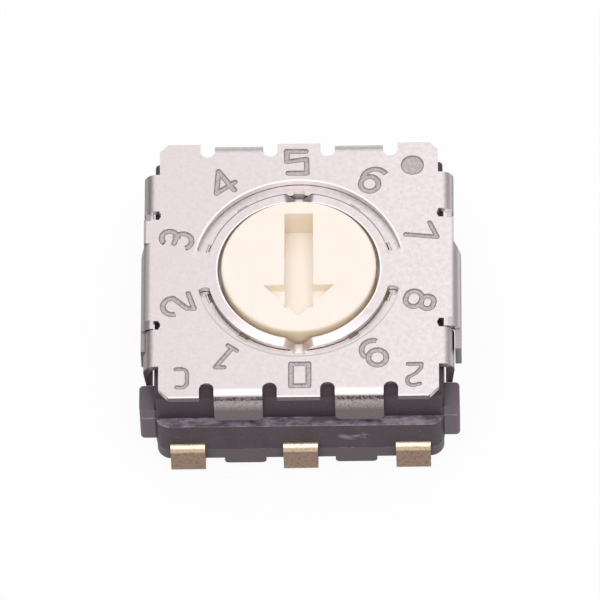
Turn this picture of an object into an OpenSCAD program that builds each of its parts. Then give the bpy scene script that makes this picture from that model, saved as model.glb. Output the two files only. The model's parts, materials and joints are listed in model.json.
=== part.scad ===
// Rotary coded switch, ten positions, surface mount.
// Z = 0 is the solder plane under the terminals, the origin lies on the rotor's
// axis, and the arrow points to position 0 along -Y.

/* [Overall] */
// Height of the cover's top face above the solder plane
cover_top = 2.76; // [2.7:0.02:3.4]
// Width of the housing's walls from side to side
body_width = 6.50; // [6.4:0.05:7.8]
// Length of the housing's lower wall from front to rear
body_length = 6.97; // [6.9:0.05:8.4]

/* [Cover sheet] */
// Thickness of the cover's sheet
sheet = 0.15; // [0.12:0.01:0.18]
// How far the cover's flat corners lie inside the housing's sides
side_inset = 0.10; // [0.05:0.01:0.15]
// How far the flat cover's front and rear edges lie inside the tabs' faces
edge_inset = 0.02; // [0.01:0.01:0.1]
// Chamfer at each corner of the cover
cover_chamfer = 0.24; // [0.1:0.02:0.4]

/* [Cover tabs, front and rear] */
// Width of a tab
tab_width = 1.09; // [0.8:0.02:1.3]
// Distance from the middle plane to the middle of a tab
tab_offset = 1.36; // [1.2:0.02:1.6]
// How far a tab reaches down from the cover's top face
tab_drop = 0.93; // [0.7:0.01:1.0]
// Width of the notch on each side of a tab
tab_notch = 0.33; // [0.2:0.01:0.4]
// Depth of that notch from the cover's edge
tab_notch_depth = 0.39; // [0.34:0.01:0.5]
// Inner radius of the bend of a tab
tab_inside = 0.15; // [0.08:0.01:0.16]
// Gap between a tab and the housing's front wall
tab_gap = 0.02; // [0.01:0.01:0.05]
// Radius of a tab's lower corners
tab_corner = 0.15; // [0.05:0.01:0.25]

/* [Cover hooks and flaps, left and right] */
// Width of a hook along the side
hook_width = 0.985; // [0.7:0.005:1.2]
// Distance from the middle plane to the middle of a hook
hook_offset = 2.08; // [2.0:0.02:2.4]
// How far a hook reaches down from the cover's top face
hook_drop = 0.70; // [0.5:0.01:0.74]
// Inner radius of the bend of a hook
hook_inside = 0.09; // [0.05:0.01:0.12]
// Gap between a hook and the housing's side
hook_gap = 0.04; // [0.02:0.01:0.06]
// Width of the notch between a hook and the middle of the side
side_notch = 0.23; // [0.15:0.01:0.3]
// How far the right flap lies outside the hooks
flap_right_out = 0.22; // [0.16:0.01:0.4]
// How far the left flap lies outside the hooks
flap_left_out = 0.16; // [0.16:0.01:0.4]
// How far a flap reaches down from the cover's top face
flap_drop = 0.80; // [0.5:0.01:1.1]
// Rear end of a flap, behind the rotor's axis
flap_rear = 0.73; // [0.4:0.01:1.0]
// Front end of a flap's tongue, in front of the rotor's axis
flap_front = 2.08; // [1.8:0.01:2.4]
// Inner radius of the bend of a flap
flap_inside = 0.10; // [0.05:0.01:0.12]

/* [Click spring] */
// Radius of the round window around the rotor's head
window_r = 1.834; // [1.8:0.002:1.9]
// Width of the spring ring
ring_width = 0.24; // [0.2:0.01:0.26]
// Width of the two arc slots that free the spring ring
slot_width = 0.27; // [0.2:0.01:0.32]
// Angle from the side axis to the middle of a slot's round end
slot_start = 16; // [12:1:24]
// Width of a click nose at its top
nose_width = 0.60; // [0.5:0.02:0.7]
// Width of a click nose at its flat bottom
nose_bottom = 0.18; // [0.1:0.02:0.26]
// How far a click nose is pressed down
nose_drop = 0.29; // [0.2:0.01:0.32]

/* [Rotor] */
// Radial gap between the rotor's head and the window
head_gap = 0.087; // [0.05:0.002:0.12]
// How far the head stands above the cover
head_proud = 0.13; // [0.05:0.01:0.3]
// Rounding of the head's top edge
head_round = 0.10; // [0.05:0.01:0.12]
// Radial gap between the rotor's flange and the chamber
flange_gap = 0.13; // [0.1:0.01:0.16]
// Clearance between a click nose and the land that it passes over
nose_clearance = 0.02; // [0.02:0.01:0.05]
// Depth of the click valleys below the land
valley_depth = 0.12; // [0.05:0.01:0.14]
// Radial gap between the spring ring and the wall around the click track
track_gap = 0.056; // [0.04:0.002:0.08]
// Plastic between the valleys and the seal's groove
groove_cover = 0.16; // [0.1:0.01:0.2]
// Plastic between the seal's groove and the rotor's underside
groove_floor = 0.14; // [0.1:0.01:0.2]
// Width of the driver slot
driver_width = 0.634; // [0.5:0.01:0.7]
// Depth of the driver slot below the head's top
driver_depth = 0.80; // [0.5:0.01:0.85]
// Rear end of the driver slot from the axis
driver_rear = 1.40; // [1.2:0.01:1.45]
// Front end of the driver slot from the axis
driver_front = 1.11; // [0.9:0.01:1.2]
// Half width of the arrow's head at its base
arrow_half = 0.79; // [0.6:0.01:0.9]
// Base of the arrow's head in front of the axis
arrow_base = 0.51; // [0.4:0.01:0.6]
// Tip of the arrow's head in front of the axis
arrow_tip = 1.33; // [1.2:0.01:1.4]
// Depth of the arrow's head below the head's top
arrow_depth = 0.28; // [0.15:0.01:0.4]
// Plastic between the driver slot's floor and the socket for the centre post
socket_wall = 0.16; // [0.1:0.01:0.2]
// Number of positions in a turn
positions = 10; // [10:1:10]

/* [Washer, seal and code disc] */
// Thickness of the thrust washer
washer = 0.10; // [0.08:0.01:0.12]
// Running gap between the thrust washer and the cover
washer_gap = 0.04; // [0.02:0.01:0.06]
// Width of the rotor's teeth in the thrust washer's notches
tooth_width = 0.24; // [0.16:0.01:0.3]
// How far those teeth reach out from the wall around the click track
tooth_reach = 0.075; // [0.05:0.005:0.1]
// How far the teeth stay below the thrust washer's top face
tooth_sunk = 0.03; // [0.01:0.01:0.05]
// Clearance around a tooth in its notch
tooth_gap = 0.01; // [0.01:0.005:0.03]
// Diameter of the seal's cord
seal_cord = 0.44; // [0.36:0.01:0.46]
// Clearance of the seal in its groove and in the housing
seal_gap = 0.015; // [0.01:0.005:0.03]
// Thickness of the code disc
disc = 0.08; // [0.06:0.01:0.1]
// Clearance between a contact's tip and the code disc
tip_gap = 0.02; // [0.01:0.005:0.03]
// Radius of the innermost contact track
track_first = 0.80; // [0.75:0.01:0.85]
// Width of a contact track's windows
track_window = 0.27; // [0.24:0.01:0.3]
// Rim of the code disc outside the outermost windows
disc_rim = 0.055; // [0.04:0.005:0.1]
// How far the code disc's edge lies inside the rotor's flange
disc_inset = 0.03; // [0.02:0.01:0.1]
// Radius of the hole in the middle of the code disc
disc_bore = 0.50; // [0.42:0.01:0.55]
// How far a window runs past its position at each end, so that a bit breaks early
break_angle = 0.5; // [0.5:0.5:3]

/* [Housing] */
// How far the upper wall's front face lies behind the lower wall's
front_step = 0.215; // [0.2:0.005:0.3]
// How far the upper wall's rear face lies in front of the lower wall's
rear_step = 0.485; // [0.45:0.005:0.5]
// Thickness of the side walls at their thinnest, beside the rotor's chamber
side_wall = 0.50; // [0.45:0.01:0.52]
// Thickness of the rear wall at its thinnest, behind the rotor's chamber
rear_wall = 0.25; // [0.2:0.01:0.26]
// Height of the ledge between the lower and the upper wall
ledge_z = 1.66; // [1.5:0.01:1.75]
// Height of the housing's underside
under_z = 0.31; // [0.25:0.01:0.4]
// Height of the stand-off feet's underside
feet_z = 0.10; // [0.05:0.01:0.15]
// Chamfer around the housing's top edge, which clears the cover's bends
rim_chamfer = 0.10; // [0.08:0.01:0.15]
// Radius of the housing's upright corners
body_corner = 0.32; // [0.1:0.01:0.35]
// Radius of the centre post that carries the rotor
post_r = 0.32; // [0.25:0.01:0.35]
// Running clearance between the post and the rotor, on the radius and on top
post_gap = 0.04; // [0.02:0.005:0.06]
// How far the front ears reach out from the housing's sides
ear_out = 0.35; // [0.2:0.01:0.4]
// Length of an ear from front to rear
ear_length = 0.65; // [0.5:0.01:0.8]
// Inner side of a stand-off foot from the middle plane
foot_inner = 0.78; // [0.5:0.01:0.9]
// Outer side of a stand-off foot from the middle plane
foot_outer = 1.72; // [1.5:0.01:1.85]
// Length of a stand-off foot from front to rear
foot_depth = 0.90; // [0.5:0.05:1.2]
// Rounding of the feet, the ears and the upper wall's corners
small_round = 0.10; // [0.05:0.01:0.12]
// Height of an ear's top
ear_top = 2.00; // [1.8:0.01:2.02]
// Height of an ear's underside
ear_under = 0.84; // [0.7:0.01:1.2]

/* [Terminals and contacts] */
// Pitch of the terminals
pitch = 2.54; // [2.4:0.01:2.54]
// Width of a terminal
terminal_width = 0.78; // [0.5:0.01:0.8]
// Thickness of the terminals' sheet
lead = 0.15; // [0.12:0.01:0.18]
// Height of the top face of the lead frame in the housing's floor
lead_top = 0.93; // [0.85:0.01:1.0]
// Gap between a terminal and the lower wall
lead_gap = 0.02; // [0.01:0.005:0.05]
// Length of a terminal's foot from its outer face
foot_length = 0.75; // [0.5:0.01:1.0]
// Inner radius of a terminal's lower bend
foot_inside = 0.02; // [0.01:0.005:0.05]
// Width of the lead frame's bars in the housing's floor
bar_width = 0.30; // [0.24:0.01:0.36]
// Distance from the axis to the row in which the bars run sideways
jog_row = 2.30; // [2.2:0.01:2.4]
// Width of a contact's leaf
leaf_width = 0.22; // [0.16:0.01:0.24]
// Thickness of a contact's leaf at its tip
leaf = 0.07; // [0.05:0.01:0.1]
// Distance from the middle plane to the tips of the outer contacts
tip_row = 0.50; // [0.4:0.01:0.6]

/* [Hidden] */
$fn = 96;
nip = 0.01; // how far a cutting shape runs past what it cuts
step = 0.02; // small step that keeps two neighbouring faces apart

SIDES = [-1, 1];
step_angle = 360 / positions;

// Housing's walls and chamber, from the rotor's axis
body_half = body_width / 2;
lower_half = body_length / 2;
upper_front = lower_half - front_step;
upper_rear = lower_half - rear_step;
chamber_r = min(body_half - side_wall, upper_rear - rear_wall);
rib_width = tab_width - 3 * step;
post_root = 0.1; // how far the centre post reaches down into the floor

// Cover
cover_under = cover_top - sheet;
half_width = body_half - side_inset;
tab_bend = sheet + tab_inside;
tab_face = upper_front + tab_gap + sheet;
tab_root = tab_face - tab_bend;
half_length = tab_face - edge_inset;
notch_end = half_length - tab_notch_depth;
notch_offset = (tab_width + tab_notch) / 2;
hook_bend = sheet + hook_inside;
hook_face = body_half + hook_gap + sheet;
hook_root = hook_face - hook_bend;
hook_outer = hook_offset + hook_width / 2;
hook_inner = hook_offset - hook_width / 2;
middle_half = hook_inner - side_notch;
side_notch_r = side_notch / 2;
flap_bend = sheet + flap_inside;
flap_right = hook_face + flap_right_out;
flap_left = hook_face + flap_left_out;
ring_r = window_r + ring_width;
slot_r = ring_r + slot_width;

// Rotor, from the top down
head_r = window_r - head_gap;
head_top = cover_top + head_proud;
washer_top = cover_under - washer_gap;
washer_seat = washer_top - washer;
land_z = cover_under - nose_drop - nose_clearance;
flange_r = chamber_r - flange_gap;
track_r = ring_r + track_gap;
tooth_r = track_r + tooth_reach;
tooth_top = washer_top - tooth_sunk;
groove_height = seal_cord + 2 * seal_gap;
groove_r = chamber_r - seal_gap - seal_cord - seal_gap;
groove_top = land_z - valley_depth - groove_cover;
groove_under = groove_top - groove_height;
rotor_under = groove_under - groove_floor;
disc_under = rotor_under - disc;
disc_r = flange_r - disc_inset;
socket_r = post_r + post_gap;
driver_floor = head_top - driver_depth;
socket_top = driver_floor - socket_wall;
post_top = socket_top - post_gap;
nose_half = nose_width / 2;
valley_inner = head_r + step;
valley_outer = sqrt(pow(track_r, 2) - pow(nose_half, 2)) - nip;

// Lead frame
lead_under = lead_top - lead;
lead_face = lower_half + lead_gap + lead;
shoulder_r = lead + lead_gap;
foot_bend = lead + foot_inside;
tip_top = disc_under - tip_gap;

// Tracks on the code disc: the outermost one ends at the disc's rim
outer_track = 4;
track_last = disc_r - disc_rim - track_window / 2;
track_pitch = (track_last - track_first) / outer_track;

// Radius of contact track number n, counted from the axis
function track(n) = track_first + n * track_pitch;
// Distance to the side at which a contact on track n has its tip
function tip_side(n) = sqrt(pow(track(n), 2) - pow(tip_row, 2));
// Where a leaf at distance x to the side can start to rise inside the chamber
function leaf_root(x) = min(
    jog_row - bar_width / 2,
    sqrt(pow(chamber_r, 2) - pow(x + leaf_width / 2, 2)) - 3 * step
);

// Tracks of the contacts, and the runs of positions at which each bit is open
track_4 = 0;
track_1 = 1;
track_common = 2;
track_2 = 3;
track_8 = outer_track;
open_1 = [[0, 1], [2, 1], [4, 1], [6, 1], [8, 1]];
open_2 = [[4, 2], [8, 4]];
open_4 = [[8, 6]];
open_8 = [[0, 8]];

// ---- shared shapes ----

// Rectangle with chamfered corners, centred
module chamfered(w, l, c) {
    difference() {
        square([w, l], center = true);
        for (x = SIDES, y = SIDES)
            translate([x * w / 2, y * l / 2]) rotate(45)
                square(c * sqrt(2), center = true);
    }
}

// Rectangle between two corners with round corners of radius r
module rounded(from, to, r) {
    translate([from[0] + r, from[1]]) square([to[0] - from[0] - 2 * r, to[1] - from[1]]);
    translate([from[0], from[1] + r]) square([to[0] - from[0], to[1] - from[1] - 2 * r]);
    for (x = [from[0] + r, to[0] - r], y = [from[1] + r, to[1] - r])
        translate([x, y]) circle(r);
}

// Quarter of a ring in the first quadrant, the section of a bend in sheet t
module bend_section(r, t) {
    intersection() {
        difference() {
            circle(r);
            circle(r - t);
        }
        square(r);
    }
}

// Section drawn in Y and Z, drawn out along X about the middle plane
module along_x(w) {
    rotate([90, 0, 90]) linear_extrude(w, center = true) children();
}

// Section drawn in X and Z, drawn out along Y from y0 to y1
module along_y(y0, y1) {
    translate([0, y1, 0]) rotate([90, 0, 0]) linear_extrude(y1 - y0) children();
}

// Flat ring between two radii
module ring(outer, inner, h) {
    linear_extrude(h) difference() {
        circle(outer);
        circle(inner);
    }
}

// ---- cover ----

// Arc slot behind the spring ring, with round ends
module arc_slot() {
    middle = ring_r + slot_width / 2;
    reach = 2 * slot_r;
    intersection() {
        difference() {
            circle(slot_r);
            circle(ring_r);
        }
        polygon([
            [0, 0],
            reach * [cos(slot_start), sin(slot_start)],
            [reach, 2 * reach],
            [-reach, 2 * reach],
            reach * [-cos(slot_start), sin(slot_start)]
        ]);
    }
    for (x = SIDES)
        translate(middle * [x * cos(slot_start), sin(slot_start)]) circle(slot_width / 2);
}

module cover_outline() {
    difference() {
        union() {
            chamfered(2 * half_width, 2 * half_length, cover_chamfer);
            square(2 * [hook_root, hook_outer], center = true);
            square(2 * [hook_face, middle_half], center = true);
        }
        circle(window_r);
        for (y = SIDES) scale([1, y]) {
            arc_slot();
            translate([-nose_half, 0]) square([nose_width, ring_r + nip]);
            for (x = SIDES) scale([x, 1]) {
                // the sheet that folds down as a tab, and the notches beside it
                translate([tab_offset - notch_offset - tab_notch / 2, tab_root])
                    square([tab_width + 2 * tab_notch, tab_bend + nip]);
                for (s = SIDES) translate([tab_offset + s * notch_offset, notch_end]) {
                    translate([0, tab_notch / 2]) circle(tab_notch / 2);
                    translate([-tab_notch / 2, tab_notch / 2])
                        square([tab_notch, tab_notch_depth]);
                }
                // notch between a hook and the middle of the side
                translate([half_width + side_notch_r, middle_half + side_notch_r]) {
                    circle(side_notch_r);
                    translate([0, -side_notch_r]) square([1, side_notch]);
                }
            }
        }
        // the middle of each side folds down as a flap
        translate([flap_right - flap_bend, -middle_half - nip])
            square([1, middle_half + flap_rear + nip]);
        translate([flap_bend - flap_left - 1, -middle_half - nip])
            square([1, middle_half + flap_rear + nip]);
    }
}

// Tab at the rear, on the right
module tab() {
    translate([tab_offset, 0, 0]) {
        translate([0, tab_root, cover_top - tab_bend])
            along_x(tab_width) bend_section(tab_bend, sheet);
        along_y(tab_face - sheet, tab_face) difference() {
            rounded([-tab_width / 2, cover_top - tab_drop],
                    [tab_width / 2, cover_top - tab_bend + tab_corner], tab_corner);
            translate([-tab_width, cover_top - tab_bend]) square(2 * tab_width);
        }
    }
}

// Hook at the rear, on the right
module hook() {
    along_y(hook_inner, hook_outer) {
        translate([hook_root, cover_top - hook_bend]) bend_section(hook_bend, sheet);
        translate([hook_face - sheet, cover_top - hook_drop])
            square([sheet, hook_drop - hook_bend]);
    }
}

// Flap on the right, with its tongue beside the front hook
module flap(face) {
    along_y(-middle_half, flap_rear)
        translate([face - flap_bend, cover_top - flap_bend]) bend_section(flap_bend, sheet);
    translate([face - sheet / 2, 0, 0]) along_x(sheet) polygon([
        [-flap_front, cover_top - flap_drop],
        [flap_rear - flap_bend, cover_top - flap_drop],
        [flap_rear, cover_top - flap_bend],
        [-middle_half, cover_top - flap_bend],
        [-middle_half, cover_under],
        [-flap_front, cover_under]
    ]);
}

// Click nose at the rear: the spring ring pressed into a flat-bottomed V
module click_nose() {
    intersection() {
        translate([0, 0, cover_under - nose_drop])
            ring(ring_r, window_r, sheet + nose_drop);
        along_y(0, ring_r + nip) {
            for (x = SIDES) scale([x, 1]) polygon([
                [0, cover_under - nose_drop],
                [nose_bottom / 2, cover_under - nose_drop],
                [nose_half, cover_under],
                [nose_half, cover_top],
                [nose_bottom / 2 + sheet / 4, cover_top - nose_drop],
                [0, cover_top - nose_drop]
            ]);
        }
    }
}

module cover() {
    color("gainsboro") {
        translate([0, 0, cover_under]) linear_extrude(sheet) cover_outline();
        for (y = SIDES) scale([1, y, 1]) {
            click_nose();
            for (x = SIDES) scale([x, 1, 1]) {
                tab();
                hook();
            }
        }
        flap(flap_right);
        mirror([1, 0, 0]) flap(flap_left);
    }
}

// ---- what turns ----

// Half section of the rotor without its valleys, teeth, slot and socket
module rotor_section() {
    translate([0, rotor_under]) {
        square([head_r - head_round, head_top - rotor_under]);
        square([head_r, head_top - rotor_under - head_round]);
        square([track_r, land_z - rotor_under]);
        square([flange_r, groove_under - rotor_under]);
    }
    translate([head_r - head_round, head_top - head_round]) circle(head_round);
    translate([0, groove_top]) square([flange_r, land_z - groove_top]);
    translate([track_r, land_z - nip]) square([flange_r - track_r, tooth_top - land_z + nip]);
}

// Outline of the teeth between which the washer lies, larger by extra all round
module teeth(extra = 0) {
    intersection() {
        circle(tooth_r + extra);
        for (n = [0 : positions - 1]) rotate(90 + n * step_angle)
            translate([0, -tooth_width / 2 - extra])
                square([2 * tooth_r, tooth_width + 2 * extra]);
    }
}

module arrow_slot() {
    translate([-driver_width / 2, -driver_front, driver_floor])
        cube([driver_width, driver_front + driver_rear, driver_depth + nip]);
    translate([0, 0, head_top - arrow_depth]) linear_extrude(arrow_depth + nip)
        polygon([[-arrow_half, -arrow_base], [0, -arrow_tip], [arrow_half, -arrow_base]]);
}

// Valley in the click track: the shape of a nose
module valley() {
    along_y(valley_inner, valley_outer) polygon([
        [-nose_half, land_z + nip],
        [-nose_bottom / 2, land_z - valley_depth],
        [nose_bottom / 2, land_z - valley_depth],
        [nose_half, land_z + nip]
    ]);
}

module rotor() {
    color("ivory") difference() {
        rotate_extrude() difference() {
            rotor_section();
            translate([-1, 0]) square([1, head_top + 1]);
            translate([groove_r, groove_under]) square([flange_r, groove_height]);
        }
        translate([0, 0, washer_seat]) linear_extrude(washer) difference() {
            circle(flange_r + nip);
            circle(track_r - nip);
            teeth();
        }
        arrow_slot();
        for (n = [0 : positions - 1]) rotate(n * step_angle) valley();
        translate([0, 0, rotor_under - nip])
            cylinder(r = socket_r, h = socket_top - rotor_under + nip);
    }
}

module thrust_washer() {
    color("lightgrey") translate([0, 0, washer_seat]) linear_extrude(washer) difference() {
        circle(flange_r);
        circle(track_r + tooth_gap);
        teeth(tooth_gap);
    }
}

module seal_ring() {
    color("dimgray") rotate_extrude()
        translate([chamber_r - seal_gap - seal_cord / 2, (groove_top + groove_under) / 2])
            circle(d = seal_cord);
}

// Windows in the code disc on track n, whose contact has its tip at tip_angle.
// A run is the first position of a window and the number of positions it spans.
module code_windows(n, tip_angle, runs) {
    outer = track(n) + track_window / 2;
    reach = 2 * outer;
    for (run = runs) rotate(tip_angle + run[0] * step_angle) intersection() {
        difference() {
            circle(outer);
            circle(outer - track_window);
        }
        polygon([
            [0, 0],
            for (i = [0 : run[1]])
                let (a = (i - 0.5) * step_angle
                         + (i == 0 ? -break_angle : i == run[1] ? break_angle : 0))
                    reach * [cos(a), sin(a)]
        ]);
    }
}

module code_disc() {
    color("goldenrod") translate([0, 0, disc_under]) linear_extrude(disc) difference() {
        circle(disc_r);
        circle(disc_bore);
        code_windows(track_4, -90, open_4);
        code_windows(track_2, -atan2(tip_row, tip_side(track_2)), open_2);
        code_windows(track_1, atan2(tip_row, tip_side(track_1)), open_1);
        code_windows(track_8, 180 - atan2(tip_row, tip_side(track_8)), open_8);
    }
}

// ---- lead frame ----

// Section of a terminal outside the rear wall: shoulder, leg and foot
module terminal_section() {
    translate([lower_half - nip, lead_under]) square([nip, lead]);
    translate([lower_half, lead_top - shoulder_r]) bend_section(shoulder_r, lead);
    translate([lead_face - lead, foot_bend])
        square([lead, lead_top - shoulder_r - foot_bend]);
    translate([lead_face - foot_bend, foot_bend]) scale([1, -1])
        bend_section(foot_bend, lead);
    translate([lead_face - foot_length, 0])
        square([foot_length - foot_bend, lead]);
}

// Flat bars in the housing's floor: from the rear wall at x to a leaf at leaf_x
module floor_bars(x, leaf_x) {
    translate([x, (lower_half + jog_row) / 2])
        square([terminal_width, lower_half - jog_row + bar_width], center = true);
    translate([min(x, leaf_x) - bar_width / 2, jog_row - bar_width / 2])
        square([abs(x - leaf_x) + bar_width, bar_width]);
    root = leaf_root(abs(leaf_x));
    translate([leaf_x - leaf_width / 2, root])
        square([leaf_width, jog_row - root]);
}

// The same bars as a solid, at the rear
module bars(x, leaf_x) {
    translate([0, 0, lead_under]) linear_extrude(lead) floor_bars(x, leaf_x);
}

// Rear terminal at x whose leaf touches the disc at leaf_x and tip_y
module contact(x, leaf_x, tip_y) {
    root = leaf_root(abs(leaf_x));
    color("gold") {
        translate([x, 0, 0]) along_x(terminal_width) terminal_section();
        bars(x, leaf_x);
        translate([leaf_x, 0, 0]) along_x(leaf_width) polygon([
            [root, lead_top],
            [root + lead, lead_top],
            [tip_y, tip_top],
            [tip_y, tip_top - leaf]
        ]);
    }
}

module front() {
    scale([1, -1, 1]) children();
}

module contact_common() {
    front() contact(-pitch, -tip_side(track_common), tip_row);
}

module contact_4() {
    front() contact(0, 0, track(track_4));
}

module contact_2() {
    front() contact(pitch, tip_side(track_2), tip_row);
}

module contact_1() {
    contact(pitch, tip_side(track_1), tip_row);
}

module contact_8() {
    contact(-pitch, -tip_side(track_8), tip_row);
}

module spare_terminal() {
    color("gold") {
        along_x(terminal_width) terminal_section();
        spare_bar();
    }
}

module spare_bar() {
    translate([-terminal_width / 2, jog_row, lead_under])
        cube([terminal_width, lower_half - jog_row, lead]);
}

// Everything of the lead frame that lies in the housing's floor
module floor_pockets() {
    front() bars(-pitch, -tip_side(track_common));
    front() bars(0, 0);
    front() bars(pitch, tip_side(track_2));
    bars(pitch, tip_side(track_1));
    bars(-pitch, -tip_side(track_8));
    spare_bar();
}

// ---- housing ----

module ear() {
    ear_front = upper_front - step;
    translate([0, 0, ear_under]) linear_extrude(ear_top - ear_under) rounded(
        [body_half - 3 * small_round, -ear_front],
        [body_half + ear_out, ear_length - ear_front],
        small_round
    );
}

module foot() {
    along_y(lower_half - foot_depth, lower_half)
        rounded([foot_inner, feet_z], [foot_outer, under_z + 2 * small_round], small_round);
}

// Straight chamfer along the housing's four top edges
module rim_cut() {
    side = rim_chamfer * sqrt(2);
    for (x = SIDES) translate([x * body_half, 0, cover_under]) rotate([0, 45, 0])
        cube([side, 4 * lower_half, side], center = true);
    for (y = [-upper_front, upper_rear]) translate([0, y, cover_under]) rotate([45, 0, 0])
        cube([2 * body_width, side, side], center = true);
}

module housing() {
    color([0.24, 0.2, 0.21]) {
        difference() {
            union() {
                translate([0, 0, under_z]) linear_extrude(ledge_z - under_z)
                    rounded([-body_half, -lower_half],
                            [body_half, lower_half], body_corner);
                translate([0, 0, under_z]) linear_extrude(cover_under - under_z)
                    rounded([-body_half, -upper_front],
                            [body_half, upper_rear], small_round);
                // ribs that carry the rear tabs, a little narrower than the tabs
                for (x = SIDES) translate([x * tab_offset - rib_width / 2, 0, ledge_z - nip])
                    cube([rib_width, upper_front, cover_under - tab_bend - ledge_z]);
                for (x = SIDES) scale([x, 1, 1]) {
                    ear();
                    for (y = SIDES) scale([1, y, 1]) foot();
                }
            }
            translate([0, 0, lead_top]) cylinder(r = chamber_r, h = cover_top);
            floor_pockets();
            rim_cut();
        }
        translate([0, 0, lead_under - post_root])
            cylinder(r = post_r, h = post_top - lead_under + post_root);
    }
}

housing();
cover();
rotor();
thrust_washer();
seal_ring();
code_disc();
contact_common();
contact_1();
contact_2();
contact_4();
contact_8();
spare_terminal();
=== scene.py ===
"""Looks of a ten-position rotary coded switch, around its packed construction.

Every new piece is modelled in millimetres in the construction's own frame and is brought to
metres when it is finished. The frame has its origin on the rotor's axis in the solder plane,
+Z up and -Y towards position 0.
"""

import json
import logging
import math
from dataclasses import dataclass, field
from enum import Enum
from typing import Callable, Iterable, Optional, Sequence

import bpy
from mathutils import Matrix, Vector

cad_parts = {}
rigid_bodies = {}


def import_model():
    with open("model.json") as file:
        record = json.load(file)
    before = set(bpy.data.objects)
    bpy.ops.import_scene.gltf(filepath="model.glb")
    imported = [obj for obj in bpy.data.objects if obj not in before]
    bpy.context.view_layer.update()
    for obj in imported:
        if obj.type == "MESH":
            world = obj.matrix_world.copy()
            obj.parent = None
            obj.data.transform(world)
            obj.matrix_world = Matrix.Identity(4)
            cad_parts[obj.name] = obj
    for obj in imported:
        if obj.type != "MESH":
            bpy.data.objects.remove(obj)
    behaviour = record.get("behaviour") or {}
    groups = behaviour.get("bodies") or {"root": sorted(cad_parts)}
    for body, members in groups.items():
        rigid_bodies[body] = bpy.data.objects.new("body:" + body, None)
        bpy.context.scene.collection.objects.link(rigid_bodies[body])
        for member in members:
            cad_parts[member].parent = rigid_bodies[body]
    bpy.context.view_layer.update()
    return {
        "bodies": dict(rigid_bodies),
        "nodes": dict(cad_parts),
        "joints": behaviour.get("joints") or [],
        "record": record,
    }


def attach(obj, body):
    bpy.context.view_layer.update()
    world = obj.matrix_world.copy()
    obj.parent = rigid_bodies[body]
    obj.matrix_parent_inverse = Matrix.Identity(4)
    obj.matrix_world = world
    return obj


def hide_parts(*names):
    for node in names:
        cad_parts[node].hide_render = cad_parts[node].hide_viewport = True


LOG = logging.getLogger("rotary_switch")
MM = 0.001
GRID = 4096
HAIR = 0.001
SIDES = (-1, 1)
SHARP_ANGLE = 35.0
END_SHARE = 0.98
Point = tuple[float, float, float]
Flat = tuple[float, float]
Colour = tuple[float, float, float, float]
Socket = bpy.types.NodeSocket


class Body(Enum):
    """The two bodies of the switch: what stands still and what turns with the rotor."""

    FIXED = "root"
    TURNING = "turning"


class Cut(Enum):
    """What a boolean does with its tool."""

    REMOVE = "DIFFERENCE"
    WELD = "UNION"
    KEEP = "INTERSECT"


# ---------------------------------------------------------------------------
# Bench: modelling moves that all pieces share
# ---------------------------------------------------------------------------


def upright(place: Vector, way: Vector) -> bool:
    """Picks the edges that stand upright."""
    return abs(way.z) > 0.9


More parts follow.
